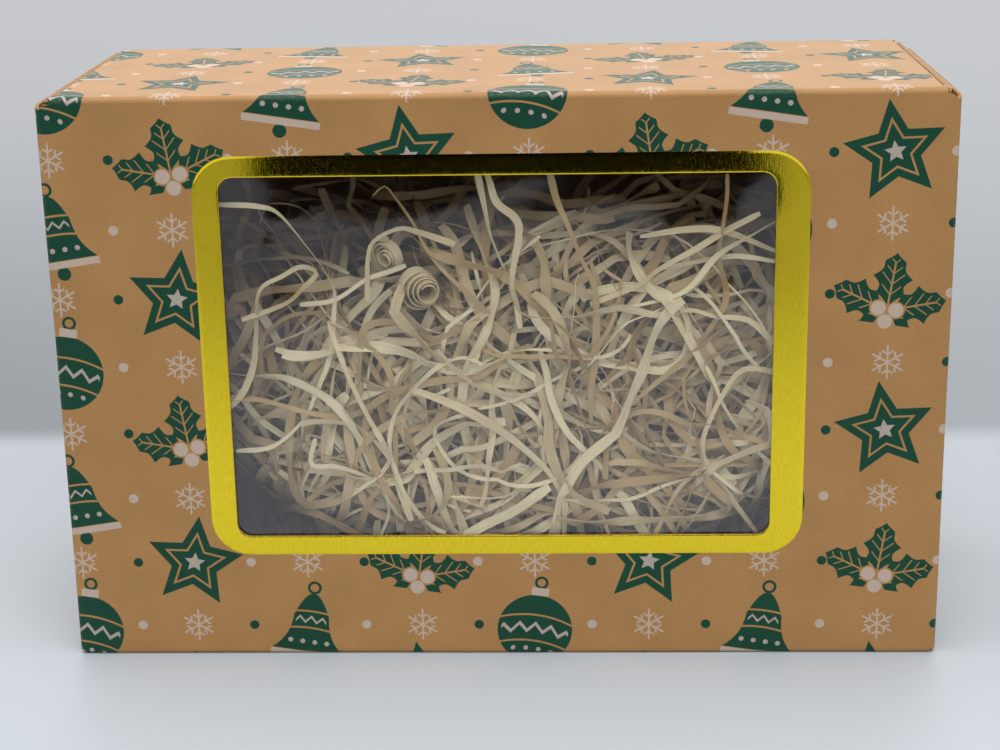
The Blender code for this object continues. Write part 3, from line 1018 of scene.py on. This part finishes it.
def stand_flange(s, t):
    """On the front flange: s across, bent up into the end tabs, t back under the box."""
    spot, outward = stand_lid(max(-tab_root, min(tab_root, s)), t)
    if abs(s) <= tab_root:
        return spot, outward
    a, b, heading = walk(up_the_tab, abs(s) - tab_root)
    side = 1 if s > 0 else -1
    return Vector((side * a, spot.y, b)), Vector((side * sin(heading), 0, -cos(heading)))


flange_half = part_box("lid_front_flange")[1].x
front_outline = [
    (flange_half, under_end - seam),
    (flange_half, under_end - ear),
    (tab_root, under_end - ear),
    (tab_root, tab_middle + glue_tab.y),
    (tab_end, tab_middle + glue_tab.y * tab_taper),
    (tab_end, tab_middle - glue_tab.y * tab_taper),
    (tab_root, tab_middle - glue_tab.y),
    (tab_root, front_reach),
]
tab_cuts = fold_cuts(tab_root) + even_cuts(tab_root + fold_arc, tab_end)
front_flange = fold_board(
    "printed_front_flange",
    mirrored(front_outline, -1, 1),
    even_cuts(-tab_root, tab_root) + both_sides(tab_cuts),
    even_cuts(front_reach, under_end),
    stand_flange,
    blank_lid,
)
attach(front_flange, "lid")
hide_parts("lid_front_flange", "lid_left_glue_tab", "lid_right_glue_tab")

# Foil border
# A gold stamping foil is pressed on round the window with a hot die, so it lies in the board's
# surface, shows its grain and goes a little way over the cut edge of the window.
foil_low, foil_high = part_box("foil_border")
foil_radius = 0.017
foil_lift = 0.000035
foil_sink = 0.00012
foil_rows = 6
lip_depths = (0.00008, 0.00105, 0.0011)
gold_low_colour, gold_high_colour = (0.90, 0.66, 0.022), (1.0, 0.76, 0.045)
pit_colour = (0.45, 0.29, 0.05)
grain_scale, peel_scale, pit_scale = (1500.0, 400.0, 260.0), 760.0, 1900.0


def between(first, second, share):
    return [a.lerp(b, share) for a, b in zip(first, second)]


def band(name, loops, finish, smooth_below):
    """A closed band through loops that have equally many points."""
    shape = bmesh.new()
    rows = [[shape.verts.new(spot) for spot in loop] for loop in loops]
    for first, second in zip(rows, rows[1:] + rows[:1]):
        for step in range(len(first)):
            after = (step + 1) % len(first)
            shape.faces.new((first[step], first[after], second[after], second[step]))
    bmesh.ops.recalc_face_normals(shape, faces=shape.faces[:])
    return new_piece(name, shape, [finish], smooth_below)


def on_skin(points, lift):
    """Points of the flat lid as they lie over its outer face."""
    spots = []
    for s, t in points:
        spot, outward = stand_lid(s, t)
        spots.append(spot + outward * (ripple(s, t) + lift))
    return spots


finish, tree, shader = new_finish("gold_foil")
place = object_place(tree)
grain = noise(place, grain_scale, 3.0, 0.6)
peel = noise(place, peel_scale, 2.0)
pit = ramp(noise(place, pit_scale, 1.0), 0.70, 0.78)
gold = tint(pit * 0.5, tint(ramp(grain, 0.3, 0.7), gold_low_colour, gold_high_colour), pit_colour)
roughness = ramp(grain + pit * 0.3, 0.35, 0.9, 0.05, 0.12)
fill(shader, {"Base Color": gold, "Metallic": 1.0, "Roughness": roughness})
fill(shader, {"Normal": bump(grain * 0.6 + peel * 0.5 - pit * 0.4, 0.2, 0.00005)})
outer = round_loop(foil_low.xz, foil_high.xz, foil_radius)
flat_shares = [0.02 + 0.93 * step / foil_rows for step in range(foil_rows + 1)]
profile = [(0, -foil_sink), *((share, foil_lift) for share in flat_shares), (0.99, foil_lift * 0.7)]
profile += [(1.003, -lip_depths[0]), (1.003, -lip_depths[1]), (0.97, -lip_depths[2]), (0.9, -foil_sink)]
loops = [on_skin(between(outer, window_loop, share), lift) for share, lift in profile]
foil = band("gold_foil_border", loops, finish, 50)
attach(foil, "lid")
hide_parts("foil_border")

# Window film and its glue
# A sheet of clear film covers the window from behind. It's held by a thin line of glue round the
# opening, and it bellies slightly between, so that it mirrors the room unevenly.
film_low, film_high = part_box("window_film")
film_columns, film_rows = 72, 52
free_half_width, free_low, free_high = 0.1175, 0.0545, 0.2175
buckles = ((0.100, 0.157), (-0.094, 0.156))
buckle_size, buckle_depth = (0.030, 0.017), 0.0008
side_bulge, bulge_height, bulge_reach = 0.00055, 0.178, 0.03
side_margin, top_margin, foot_margin, tuck_margin = 0.02, 0.012, 0.02, 0.035
slow_wave, quick_wave, tuck_depth = 0.00008, 0.00004, 0.00012
film_mirror = 0.060
mirror_colour, clear_colour = (0.96, 0.94, 0.98), (0.992, 0.992, 0.988)
haze_scale = (26.0, 26.0, 60.0)


def clip(value):
    return min(1.0, max(0.0, value))


def belly(x, z):
    """How far the film leans into the box at a place, in metres. It's flat where it is glued."""
    inside = free_half_width - abs(x)
    free = clip(inside / side_margin) * clip((free_high - z) / top_margin)
    free *= clip((z - free_low) / foot_margin)
    free = free * free * (3 - 2 * free)
    bulge = 0.5 + 0.5 * cos(min(pi, abs(z - bulge_height) / bulge_reach * pi / 1.6))
    bulge *= -side_bulge * clip(abs(x) / 0.09) ** 2
    for middle_x, middle_z in buckles:
        off = clip(((x - middle_x) / buckle_size[0]) ** 2 + ((z - middle_z) / buckle_size[1]) ** 2)
        bulge -= buckle_depth * (1 - off) ** 2
    wave = slow_wave * sin(52 * x + 31 * z + 0.6) + quick_wave * sin(96 * x - 120 * z)
    tuck = tuck_depth * sin(420 * z + 40 * x) * (1 - clip(inside / tuck_margin))
    return free * (bulge + wave + tuck)


shape = bmesh.new()
layers = []
film_size = film_high - film_low
across = [film_low.x + film_size.x * step / film_columns for step in range(film_columns + 1)]
for y in (film_low.y, film_high.y):
    rows = []
    for row in range(film_rows + 1):
        z = film_low.z + film_size.z * row / film_rows
        rows.append([shape.verts.new((x, y + belly(x, z), z)) for x in across])
    layers.append(rows)
    for low, high in zip(rows, rows[1:]):
        for corners in zip(low, low[1:], high[1:], high):
            shape.faces.new(corners)
rims = []
for rows in layers:
    left, right = [row[0] for row in rows], [row[-1] for row in rows]
    rims.append(left + rows[-1][1:] + right[-2::-1] + rows[0][-2:0:-1])
for (a, b), (c, d) in zip(zip(*rims), zip(*(rim[1:] + rim[:1] for rim in rims))):
    shape.faces.new((a, c, d, b))
bmesh.ops.recalc_face_normals(shape, faces=shape.faces[:])

finish, tree, shader = new_finish("clear_film")
tree.nodes.remove(shader)
haze = noise(object_place(tree), haze_scale, 2.0)
gloss = {"Color": mirror_colour, "Roughness": ramp(haze, 0.3, 0.7, 0.045, 0.075)}
mirror = node(tree, "ShaderNodeBsdfAnisotropic", {**gloss, "Normal": bump(haze, 0.03, 0.002)})
clear = node(tree, "ShaderNodeBsdfTransparent", {"Color": clear_colour})
slant = Amount(node(tree, "ShaderNodeLayerWeight", {"Blend": 0.5}).outputs["Facing"])
show_both(slant.math("POWER", 5.0) * (1.0 - film_mirror) + film_mirror, clear, mirror)
film = new_piece("clear_window_film", shape, [finish], smooth_angle)
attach(film, "lid")
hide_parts("window_film")

glue_low, glue_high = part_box("film_adhesive")
glue_gap, glue_width, glue_wander = 0.0018, 0.0052, 0.14
glue_radii = (0.006, 0.008)
glue_low_colour, glue_high_colour = (0.62, 0.55, 0.42), (0.82, 0.77, 0.66)
finish, tree, shader = new_finish("clear_glue")
bubble = noise(object_place(tree), 700.0, 2.0)
fill(shader, {"Base Color": tint(bubble, glue_low_colour, glue_high_colour), "Roughness": 0.28})
fill(shader, {"Normal": bump(bubble, 0.5, 0.0001)})
near, far = (
    round_loop(window_low - Vector((gap, gap)), window_high + Vector((gap, gap)), radius)
    for gap, radius in ((glue_gap, glue_radii[0]), (glue_gap + glue_width, glue_radii[1]))
)
for number, (a, b) in enumerate(zip(near, far)):
    reach = (b - a) * glue_wander
    a += reach * (0.5 + 0.5 * sin(number * 0.9)) * abs(sin(number * 0.37 + 1))
    b -= reach * (0.5 + 0.5 * cos(number * 1.3)) * abs(sin(number * 0.23))
profile = [(0, 0.5), (0.06, 0.85), (0.25, 1.0), (0.5, 0.97), (0.75, 1.0), (0.94, 0.85), (1, 0.5)]
profile += [(0.94, 0.15), (0.5, 0.0), (0.06, 0.15)]
loops = []
for share, lift in profile:
    y = glue_high.y - lift * (glue_high.y - glue_low.y)
    loops.append([(s, y, t) for s, t in between(near, far, share)])
glue = band("film_glue_line", loops, finish, 180)
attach(glue, "lid")
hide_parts("film_adhesive")

# Wood wool
# Long shavings of pale softwood, up to 5 mm wide and paper thin, are packed in loosely. They
# curl and cross in every direction, and the mound touches the film in the middle of the window.
wool_front, wool_half_width = -0.0680, 0.1785
wool_low, wool_high = 0.0062, 0.2240
shaving_thickness = 0.00018
crown_place, crown_size = (0.020, 0.108), (0.128, 0.074)
side_fall, foot_fall, lump_size = 0.032, 0.016, 0.024
heap_start, heap_share = 0.182, 0.45
roll_places, roll_room = ((-0.031, 0.165), (-0.047, 0.180)), 0.010
bend_size, kink_size, kinks_per_metre = 44.0, 0.9, 26.0
cross_share = 0.55
lean_rate, lean_size, lean_forward = 27.0, 7.5, -0.8
least_girth, girth_range = 0.32, 0.80
tip_girth = 0.62
wood_low_colour, wood_high_colour = (0.54, 0.37, 0.165), (0.93, 0.83, 0.55)
grain_colour, vessel_colour = (0.56, 0.40, 0.19), (0.50, 0.36, 0.18)
# Painted shade: shavings further behind the front are darkened towards a dark brown, for the shade deep
# inside the closed box.
painted_depth_shade_colour, painted_depth_shade_range, painted_depth_shade_share = (0.20, 0.115, 0.05), (0.003, 0.042), 0.88
wood_roughness, wood_glow = 0.52, 0.16


def open_tree(tree, values):
    """Gives a node tree its mesh output and its named inputs, with the values they start with."""
    tree.interface.new_socket("Mesh", in_out="OUTPUT", socket_type="NodeSocketGeometry")
    for name, value in values.items():
        kind = "NodeSocketInt" if isinstance(value, int) else "NodeSocketFloat"
        tree.interface.new_socket(name, in_out="INPUT", socket_type=kind).default_value = value
    tree.interface.new_socket("Wood", in_out="INPUT", socket_type="NodeSocketMaterial")
    return node(tree, "NodeGroupInput").outputs


def end_tree(given, mesh):
    """Ends a tree in one real mesh with its material."""
    tree = mesh.id_data
    real = node(tree, "GeometryNodeRealizeInstances", {"Geometry": mesh}).outputs[0]
    wood = node(tree, "GeometryNodeSetMaterial", {"Geometry": real, "Material": given["Wood"]})
    node(tree, "NodeGroupOutput", {"Mesh": wood.outputs[0]})
    return tree


def random_amount(low, high, item, seed):
    inputs = {2: low, 3: high, 7: item, 8: seed}
    return Amount(node(item.socket.id_data, "FunctionNodeRandomValue", inputs).outputs[1])


def store(geometry, name, value):
    inputs = {"Geometry": geometry, "Name": name, "Value": value}
    settings = {"data_type": "FLOAT", "domain": "POINT"}
    return node(geometry.id_data, "GeometryNodeStoreNamedAttribute", inputs, **settings).outputs[0]


def named(tree, name, kind="FLOAT"):
    made = node(tree, "GeometryNodeInputNamedAttribute", {"Name": name}, data_type=kind)
    return made.outputs["Attribute"]


def shave(curves, facing, given, girth):
    """Turns curves into thin shavings: flat strips that face a given way, with tapered ends."""
    tree = curves.id_data
    tangent = node(tree, "GeometryNodeInputTangent").outputs[0]
    lean = vector_math("SCALE", tangent, at3=vector_math("DOT_PRODUCT", facing, at1=tangent))
    square = vector_math("NORMALIZE", vector_math("SUBTRACT", facing, at1=lean))
    turned = node(tree, "GeometryNodeSetCurveNormal", {"Curve": curves, "Normal": square}, mode="FREE")
    spline = node(tree, "GeometryNodeSplineParameter").outputs
    curves = store(turned.outputs[0], "along", spline["Length"])
    sides = {"Width": given["Thickness"], "Height": given["Width"]}
    section = node(tree, "GeometryNodeCurvePrimitiveQuadrilateral", sides).outputs[0]
    height = split(node(tree, "GeometryNodeInputPosition").outputs[0])[1]
    profile = store(section, "across", height / Amount(given["Width"]))
    end = Amount(spline["Factor"])
    taper = ramp(end.math("MINIMUM", 1.0 - end), -0.02, 0.04, tip_girth, 1.0)
    inputs = {"Curve": curves, "Profile Curve": profile, "Fill Caps": True, "Scale": taper * girth}
    return node(tree, "GeometryNodeCurveToMesh", inputs).outputs[0]


def mound_depth(x, z):
    """How far the mound's face lies behind its front. It falls back round the crown, at the foot's
    corners and behind the two rolls, and it is lumpy."""
    off_x, off_z = (x - crown_place[0]) / crown_size[0], (z - crown_place[1]) / crown_size[1]
    away = off_x * off_x + off_z * off_z
    lump = noise(vector(x.socket.id_data, x, 0.0, z), 22.0, 1.0) - 0.5
    depth = ramp(away, 0.45, 2.1) * side_fall + ramp(abs(x) - z, 0.015, 0.06) * foot_fall
    depth = depth * ramp(z, 0.026, 0.052, 0.22, 1.0) + lump * lump_size
    for roll_x, roll_z in roll_places:
        depth = depth + ramp(spread(x - roll_x, z - roll_z), 0.005, 0.016, roll_room, 0.0)
    return depth.math("MAXIMUM", 0.0)


def make_strand_tree():
    """Random shavings. Each one starts at a random place at a random heading, and wanders off
    in steps of equal length, at its own depth behind the front of the mound."""
    tree = bpy.data.node_groups.new("wood_wool_strands", "GeometryNodeTree")
    start_values = {"Strands": 100, "Steps": 28, "Seed": 1, "Length": 0.1, "Width": 0.0028}
    start_values |= {"Thickness": shaving_thickness, "Middle X": 0.0, "Middle Z": 0.1}
    start_values |= {"Reach X": 0.16, "Reach Z": 0.08, "Least Depth": 0.0, "Most Depth": 0.01}
    inputs = open_tree(tree, start_values)
    given = {name: Amount(inputs[name]) for name in start_values}
    steps, seed = given["Steps"], given["Seed"]
    index = Amount(node(tree, "GeometryNodeInputIndex").outputs[0])
    strand = ((index + 0.5) / steps).math("FLOOR")
    step = index - strand * steps

    def pick(number, low=-1.0, high=1.0):
        return random_amount(low, high, strand, seed * 20.0 + float(number))

    def wander(number, frequency, size):
        place = vector(tree, travelled * frequency, strand * 7.31 + number * 3.7, seed * 1.9)
        return (noise(place, 1.0) - 0.5) * size

    length = given["Length"] * pick(1, 0.55, 1.35)
    travelled = length * step / steps
    heading = pick(2, 0.0, tau)
    bend = pick(3)
    bend = bend * bend * bend * bend_size
    stretch = strand * 41.0 + (travelled * kinks_per_metre + pick(9, 0.0, 1.0)).math("FLOOR")
    kink = random_amount(-1.0, 1.0, stretch, seed * 20.0 + 10.0)
    angle = heading + bend * travelled + wander(1, 17.0, 3.2) + kink * kink * kink * kink_size
    pitch = wander(2, 22.0, 1.5)
    level = pitch.math("COSINE")
    heading = vector(tree, angle.math("COSINE") * level, pitch.math("SINE"), angle.math("SINE") * level)
    stride = node(
        tree, "GeometryNodeAccumulateField", {"Value": heading, 1: strand}, data_type="FLOAT_VECTOR"
    ).outputs
    walked_x, walked_y, walked_z = (
        (done - whole * 0.5) * length / steps
        for done, whole in zip(split(stride["Leading"]), split(stride["Total"]))
    )
    x = given["Middle X"] + pick(4) * given["Reach X"] + walked_x
    z = given["Middle Z"] + pick(5) * given["Reach Z"] + walked_z
    x = x.math("SMOOTH_MIN", wool_half_width, 0.006).math("SMOOTH_MAX", -wool_half_width, 0.006)
    z = z.math("SMOOTH_MAX", wool_low, 0.008)
    heap = (z - heap_start).math("MAXIMUM", 0.0)
    z = (z - heap * heap_share).math("SMOOTH_MIN", wool_high, 0.006)
    depth = mound_depth(x, z) + pick(6, 0.0, 1.0) * (given["Most Depth"] - given["Least Depth"])
    y = depth + given["Least Depth"] + walked_y * cross_share + wool_front
    y = y.math("SMOOTH_MAX", wool_front, 0.0025)
    points = node(tree, "GeometryNodePoints", {"Count": given["Strands"] * steps}).outputs[0]
    points = store(points, "shade", pick(7, 0.0, 1.0))
    points = store(points, "turn", pick(8, 0.0, 1.0))
    points = store(points, "travelled", travelled)
    # How far a point lies behind the front, for the wood's painted shade.
    points = store(points, "behind", y - wool_front)
    inputs_at_place = {"Geometry": points, "Position": vector(tree, x, y, z)}
    laid = node(tree, "GeometryNodeSetPosition", inputs_at_place).outputs[0]
    ordered = {"Points": laid, "Curve Group ID": strand, "Weight": step}
    curves = node(tree, "GeometryNodePointsToCurves", ordered).outputs[0]

    def lean(number):
        turn = Amount(named(tree, "turn")) * 400.0 + number * 5.1
        place = vector(tree, Amount(named(tree, "travelled")) * lean_rate, turn, 0.0)
        return (noise(place, 1.0, 1.0) - 0.5) * lean_size

    girth = (Amount(named(tree, "turn")) * 7.0).math("FRACT") * girth_range + least_girth
    facing = vector(tree, lean(1.0), lean_forward, lean(2.0))
    return end_tree(inputs, shave(curves, facing, inputs, girth))


def make_laid_tree():
    """Shavings along given lines, which carry the way each one faces, its width and its tone."""
    tree = bpy.data.node_groups.new("wood_wool_laid", "GeometryNodeTree")
    tree.interface.new_socket("Lines", in_out="INPUT", socket_type="NodeSocketGeometry")
    inputs = open_tree(tree, {"Width": 0.0032, "Thickness": shaving_thickness})
    curves = node(tree, "GeometryNodeMeshToCurve", {"Mesh": inputs["Lines"]}).outputs[0]
    girth = Amount(named(tree, "girth"))
    return end_tree(inputs, shave(curves, named(tree, "facing", "FLOAT_VECTOR"), inputs, girth))


def grow(name, tree, values, start=None):
    """Runs a node tree on an object and keeps the outcome as a plain mesh."""
    host = new_piece(f"{name}_host", start or bpy.data.meshes.new(f"{name}_host"))
    run = host.modifiers.new("tree", "NODES")
    run.node_group = tree
    for item in tree.interface.items_tree:
        if item.in_out == "INPUT" and item.name in values:
            run[item.identifier] = values[item.name]
    grown = host.evaluated_get(bpy.context.evaluated_depsgraph_get())
    mesh = bpy.data.meshes.new_from_object(grown)
    mesh.name = name
    host.modifiers.remove(run)
    bpy.data.objects.remove(host)
    return new_piece(name, mesh, (), smooth_angle)


pine, tree, shader = new_finish("pine_shaving")
shade, along, across, behind = (
    Amount(node(tree, "ShaderNodeAttribute", attribute_name=name).outputs["Fac"])
    for name in ("shade", "along", "across", "behind")
)
grain_place = vector(tree, along * 38.0 + shade * 91.0, across * 5.5 + shade * 37.0, shade * 11.0)
grain = noise(grain_place, 1.0, 3.0, 0.6)
vessel = noise(vector(tree, along * 260.0, across * 16.0, shade * 50.0), 1.0)
blotch = noise(vector(tree, along * 55.0, shade * 60.0, 0.0), 1.0)
wood = tint(ramp(shade + (blotch - 0.5) * 0.5, 0.0, 1.0), wood_low_colour, wood_high_colour)
wood = tint(ramp(grain, 0.50, 0.72) * 0.55, wood, grain_colour)
wood = tint(ramp(vessel, 0.60, 0.72) * 0.28, wood, vessel_colour)
# Painted shade: the further a shaving lies behind the front, the darker it is.
wood = tint(ramp(behind, *painted_depth_shade_range, 0.0, painted_depth_shade_share), wood, painted_depth_shade_colour)
fill(shader, {"Base Color": wood, "Roughness": wood_roughness})
fill(shader, {"Normal": bump(grain + vessel * 0.5, 0.4, 0.0001)})
show_both(wood_glow, shader, node(tree, "ShaderNodeBsdfTranslucent", {"Color": wood}))

# The random shavings lie in layers, from the deep bed to the loose slivers in front.
columns = ("Strands", "Seed", "Steps", "Length", "Width", "Middle X", "Middle Z", "Reach X", "Reach Z")
columns += ("Least Depth", "Most Depth")
layers = {
    "wood_wool_deep": (520, 3, 28, 0.120, 0.0042, 0.000, 0.090, 0.168, 0.082, 0.020, 0.085),
    "wood_wool_foot": (150, 71, 28, 0.130, 0.0042, 0.000, 0.022, 0.166, 0.018, 0.001, 0.060),
    "wood_wool_upper": (74, 41, 28, 0.095, 0.0040, 0.040, 0.192, 0.105, 0.022, 0.006, 0.045),
    "wood_wool_middle": (420, 11, 28, 0.125, 0.0044, 0.000, 0.094, 0.156, 0.072, 0.005, 0.028),
    "wood_wool_front": (170, 29, 36, 0.130, 0.0044, 0.018, 0.104, 0.108, 0.054, 0.0005, 0.009),
    "wood_wool_slivers": (70, 57, 32, 0.085, 0.0009, 0.010, 0.120, 0.112, 0.066, 0.0002, 0.012),
}
strand_tree = make_strand_tree()
wool = [
    grow(name, strand_tree, {"Wood": pine, **dict(zip(columns, values))})
    for name, values in layers.items()
]


def smooth_path(points, spacing=0.0028):
    """A smooth line through points, cut in nearly equal steps."""
    points = [Vector(point) for point in points]
    ends = [points[0] * 2 - points[1], *points, points[-1] * 2 - points[-2]]
    line = []
    for before, start, stop, after in zip(ends, ends[1:], ends[2:], ends[3:]):
        count = max(2, round((stop - start).length / spacing))
        for step in range(count):
            t = step / count
            pull = (2 * before - 5 * start + 4 * stop - after) * t * t
            push = (3 * start - before - 3 * stop + after) * t * t * t
            line.append((2 * start + (stop - before) * t + pull + push) / 2)
    return [*line, points[-1]]


# The longest shavings lie against the film as in the box. Each has its depth behind the front,
# its width as a share, and its points (x, z), in mm.
laid = [
    (0.5, 1.00, "-117,114 -111,121 -106,133 -104,149 -103,162 -100,168 -92,172 -85,176 -80,176 "
                "-77,173 -83,167 -91,160 -110,153"),
    (2.5, 0.75, "-119,203 -100,202 -91,198 -79,182 -74,174 -70,165 -71,152 -73,136 -80,119 "
                "-86,107 -100,95 -116,93"),
    (3.5, 0.70, "-52,206 -47,210 -42,204 -35,193 -31,184 -24,174 -11,161 -3,153"),
    (2.0, 0.95, "-56,160 -55,179 -52,187 -42,192 -35,191 -18,185"),
    (4.0, 0.60, "-21,140 -18,146 -10,160 0,173 18,188"),
    (1.0, 1.05, "-61,124 -60,135 -59,146 -54,151 -43,151 -30,144 -18,147 -8,153"),
    (0.5, 1.05, "-5,218 -3,213 0,203 8,196 9,188 6,171 7,161 12,154 32,153 51,157 67,154 81,156 "
                "92,153 106,151 118,140"),
    (2.0, 1.10, "-8,216 -5,200 -3,189 3,173 7,162 9,148"),
    (1.2, 1.05, "22,217 25,204 30,192 35,179 41,164 41,135 39,121 39,105"),
    (3.0, 1.00, "39,158 43,160 59,166 68,173 84,182 95,189 110,197"),
    (1.5, 0.90, "43,155 60,158 79,164 92,179 107,188 119,195"),
    (2.5, 0.95, "96,214 96,203 94,188 93,178 96,166 96,158 91,149 80,134"),
    (4.0, 0.95, "60,187 80,190 96,189 120,179"),
    (5.0, 0.85, "68,173 80,175 100,178 120,175"),
    (1.0, 1.15, "-120,118 -104,117 -86,112 -70,109 -59,112 -48,119 -32,124 -21,126 -9,127 4,136 "
                "13,141"),
    (0.8, 0.95, "-87,106 -80,107 -68,106 -57,100 -48,88 -45,76 -40,61"),
    (1.5, 1.00, "-81,99 -83,87 -71,86 -56,79 -50,66 -54,53"),
    (2.0, 0.80, "-25,143 -32,139 -40,130 -44,122 -46,102 -46,84"),
    (0.6, 1.25, "-39,121 -34,120 -17,113 -1,103 12,92 22,81 27,68 27,54"),
    (1.6, 0.95, "-13,125 -4,121 12,111 21,97 26,81 28,64"),
    (0.7, 0.95, "94,147 86,140 71,127 52,109 46,94 45,80"),
    (1.0, 1.00, "119,128 104,129 95,117 88,101 87,93 90,85 112,53"),
    (2.0, 0.80, "88,131 92,123 97,111 108,95 119,84"),
    (2.4, 0.95, "47,75 55,79 68,85 85,86 107,86"),
    (3.4, 0.90, "49,79 57,73 68,72 85,73 102,72"),
    (1.4, 1.00, "17,139 20,128 22,116 29,101 41,88 52,74 68,67 85,65"),
    (0.9, 1.00, "30,141 28,133 33,116 38,100 44,86"),
    (1.8, 0.80, "39,98 41,86 41,74 47,52"),
    (2.6, 0.95, "-39,176 -47,173 -56,170 -70,161 -85,159"),
]
laid_lift, laid_twist = 0.0012, 1.25
shavings = []
for number, (depth, share, places) in enumerate(laid):
    pairs = [place.split(",") for place in places.split()]
    line = smooth_path([(int(x) / 1000, wool_front + depth / 1000, int(z) / 1000) for x, z in pairs])
    shaving = []
    for step, spot in enumerate(line):
        spot.y += laid_lift * abs(sin(step * 0.11 + number * 1.7))
        ahead = line[min(step + 1, len(line) - 1)] - line[max(step - 1, 0)]
        aside = ahead.normalized().cross(Vector((0, 1, 0)))
        twist = laid_twist * sin(step * 0.12 + number * 2.3) * sin(step * 0.05 + number)
        facing = Vector((0, -cos(twist), 0)) + aside * sin(twist)
        girth = share * (0.8 + 0.2 * sin(step * 0.21 + number))
        shaving.append((spot, facing, girth, 0.55 + 0.45 * sin(number * 2.1)))
    shavings.append(shaving)

# Two shavings are rolled up as tight as they left the plane, with their open ends forward and
# their last turns loose. Each has its place, depth, axis, least and most radius, turns and width.
rolls = [
    ((-30, 164), 3.0, (0.34, -0.90, -0.26), 0.0035, 0.0088, 4.2, 1.9),
    ((-48, 178), 6.0, (-0.48, -0.84, -0.24), 0.0021, 0.0078, 4.2, 1.6),
]
roll_steps, roll_start, roll_shade = 26, 0.6, 0.7
out_of_round, turn_wobble, first_shift, last_shift = 0.05, 0.0004, 0.0016, 0.0042
slack = Vector((-0.0030, 0.0004, -0.0010))
for (x, z), depth, axis, least, most, turns, girth in rolls:
    axis = Vector(axis).normalized()
    side = axis.cross(Vector((0, 0, 1))).normalized()
    above = side.cross(axis)
    centre = Vector((x / 1000, wool_front + depth / 1000, z / 1000))
    steps = round(turns * roll_steps)
    shaving = []
    for step in range(steps + 1):
        share = step / steps
        angle = tau * turns * share
        out = side * cos(angle + roll_start) + above * sin(angle + roll_start)
        radius = (least + (most - least) * share) * (1 + out_of_round * sin(2 * angle))
        shift = turn_wobble * sin(angle * 0.37) - first_shift - last_shift * share
        spot = centre + slack * share**2 + out * radius + axis * shift
        shaving.append((spot, out, girth, roll_shade))
    shavings.append(shaving)

mesh = bpy.data.meshes.new("laid_lines")
rows = [row for shaving in shavings for row in shaving]
links, first = [], 0
for shaving in shavings:
    links += [(first + step, first + step + 1) for step in range(len(shaving) - 1)]
    first += len(shaving)
mesh.from_pydata([row[0] for row in rows], links, [])
for number, name in ((2, "girth"), (3, "shade")):
    mesh.attributes.new(name, "FLOAT", "POINT").data.foreach_set("value", [row[number] for row in rows])
facings = mesh.attributes.new("facing", "FLOAT_VECTOR", "POINT")
facings.data.foreach_set("vector", [part for row in rows for part in row[1]])
wool.append(grow("wood_wool_curls", make_laid_tree(), {"Wood": pine}, mesh))
for piece in wool:
    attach(piece, "tray")
    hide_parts("wood_wool_bed", "wood_wool_roll_large", "wood_wool_roll_small")
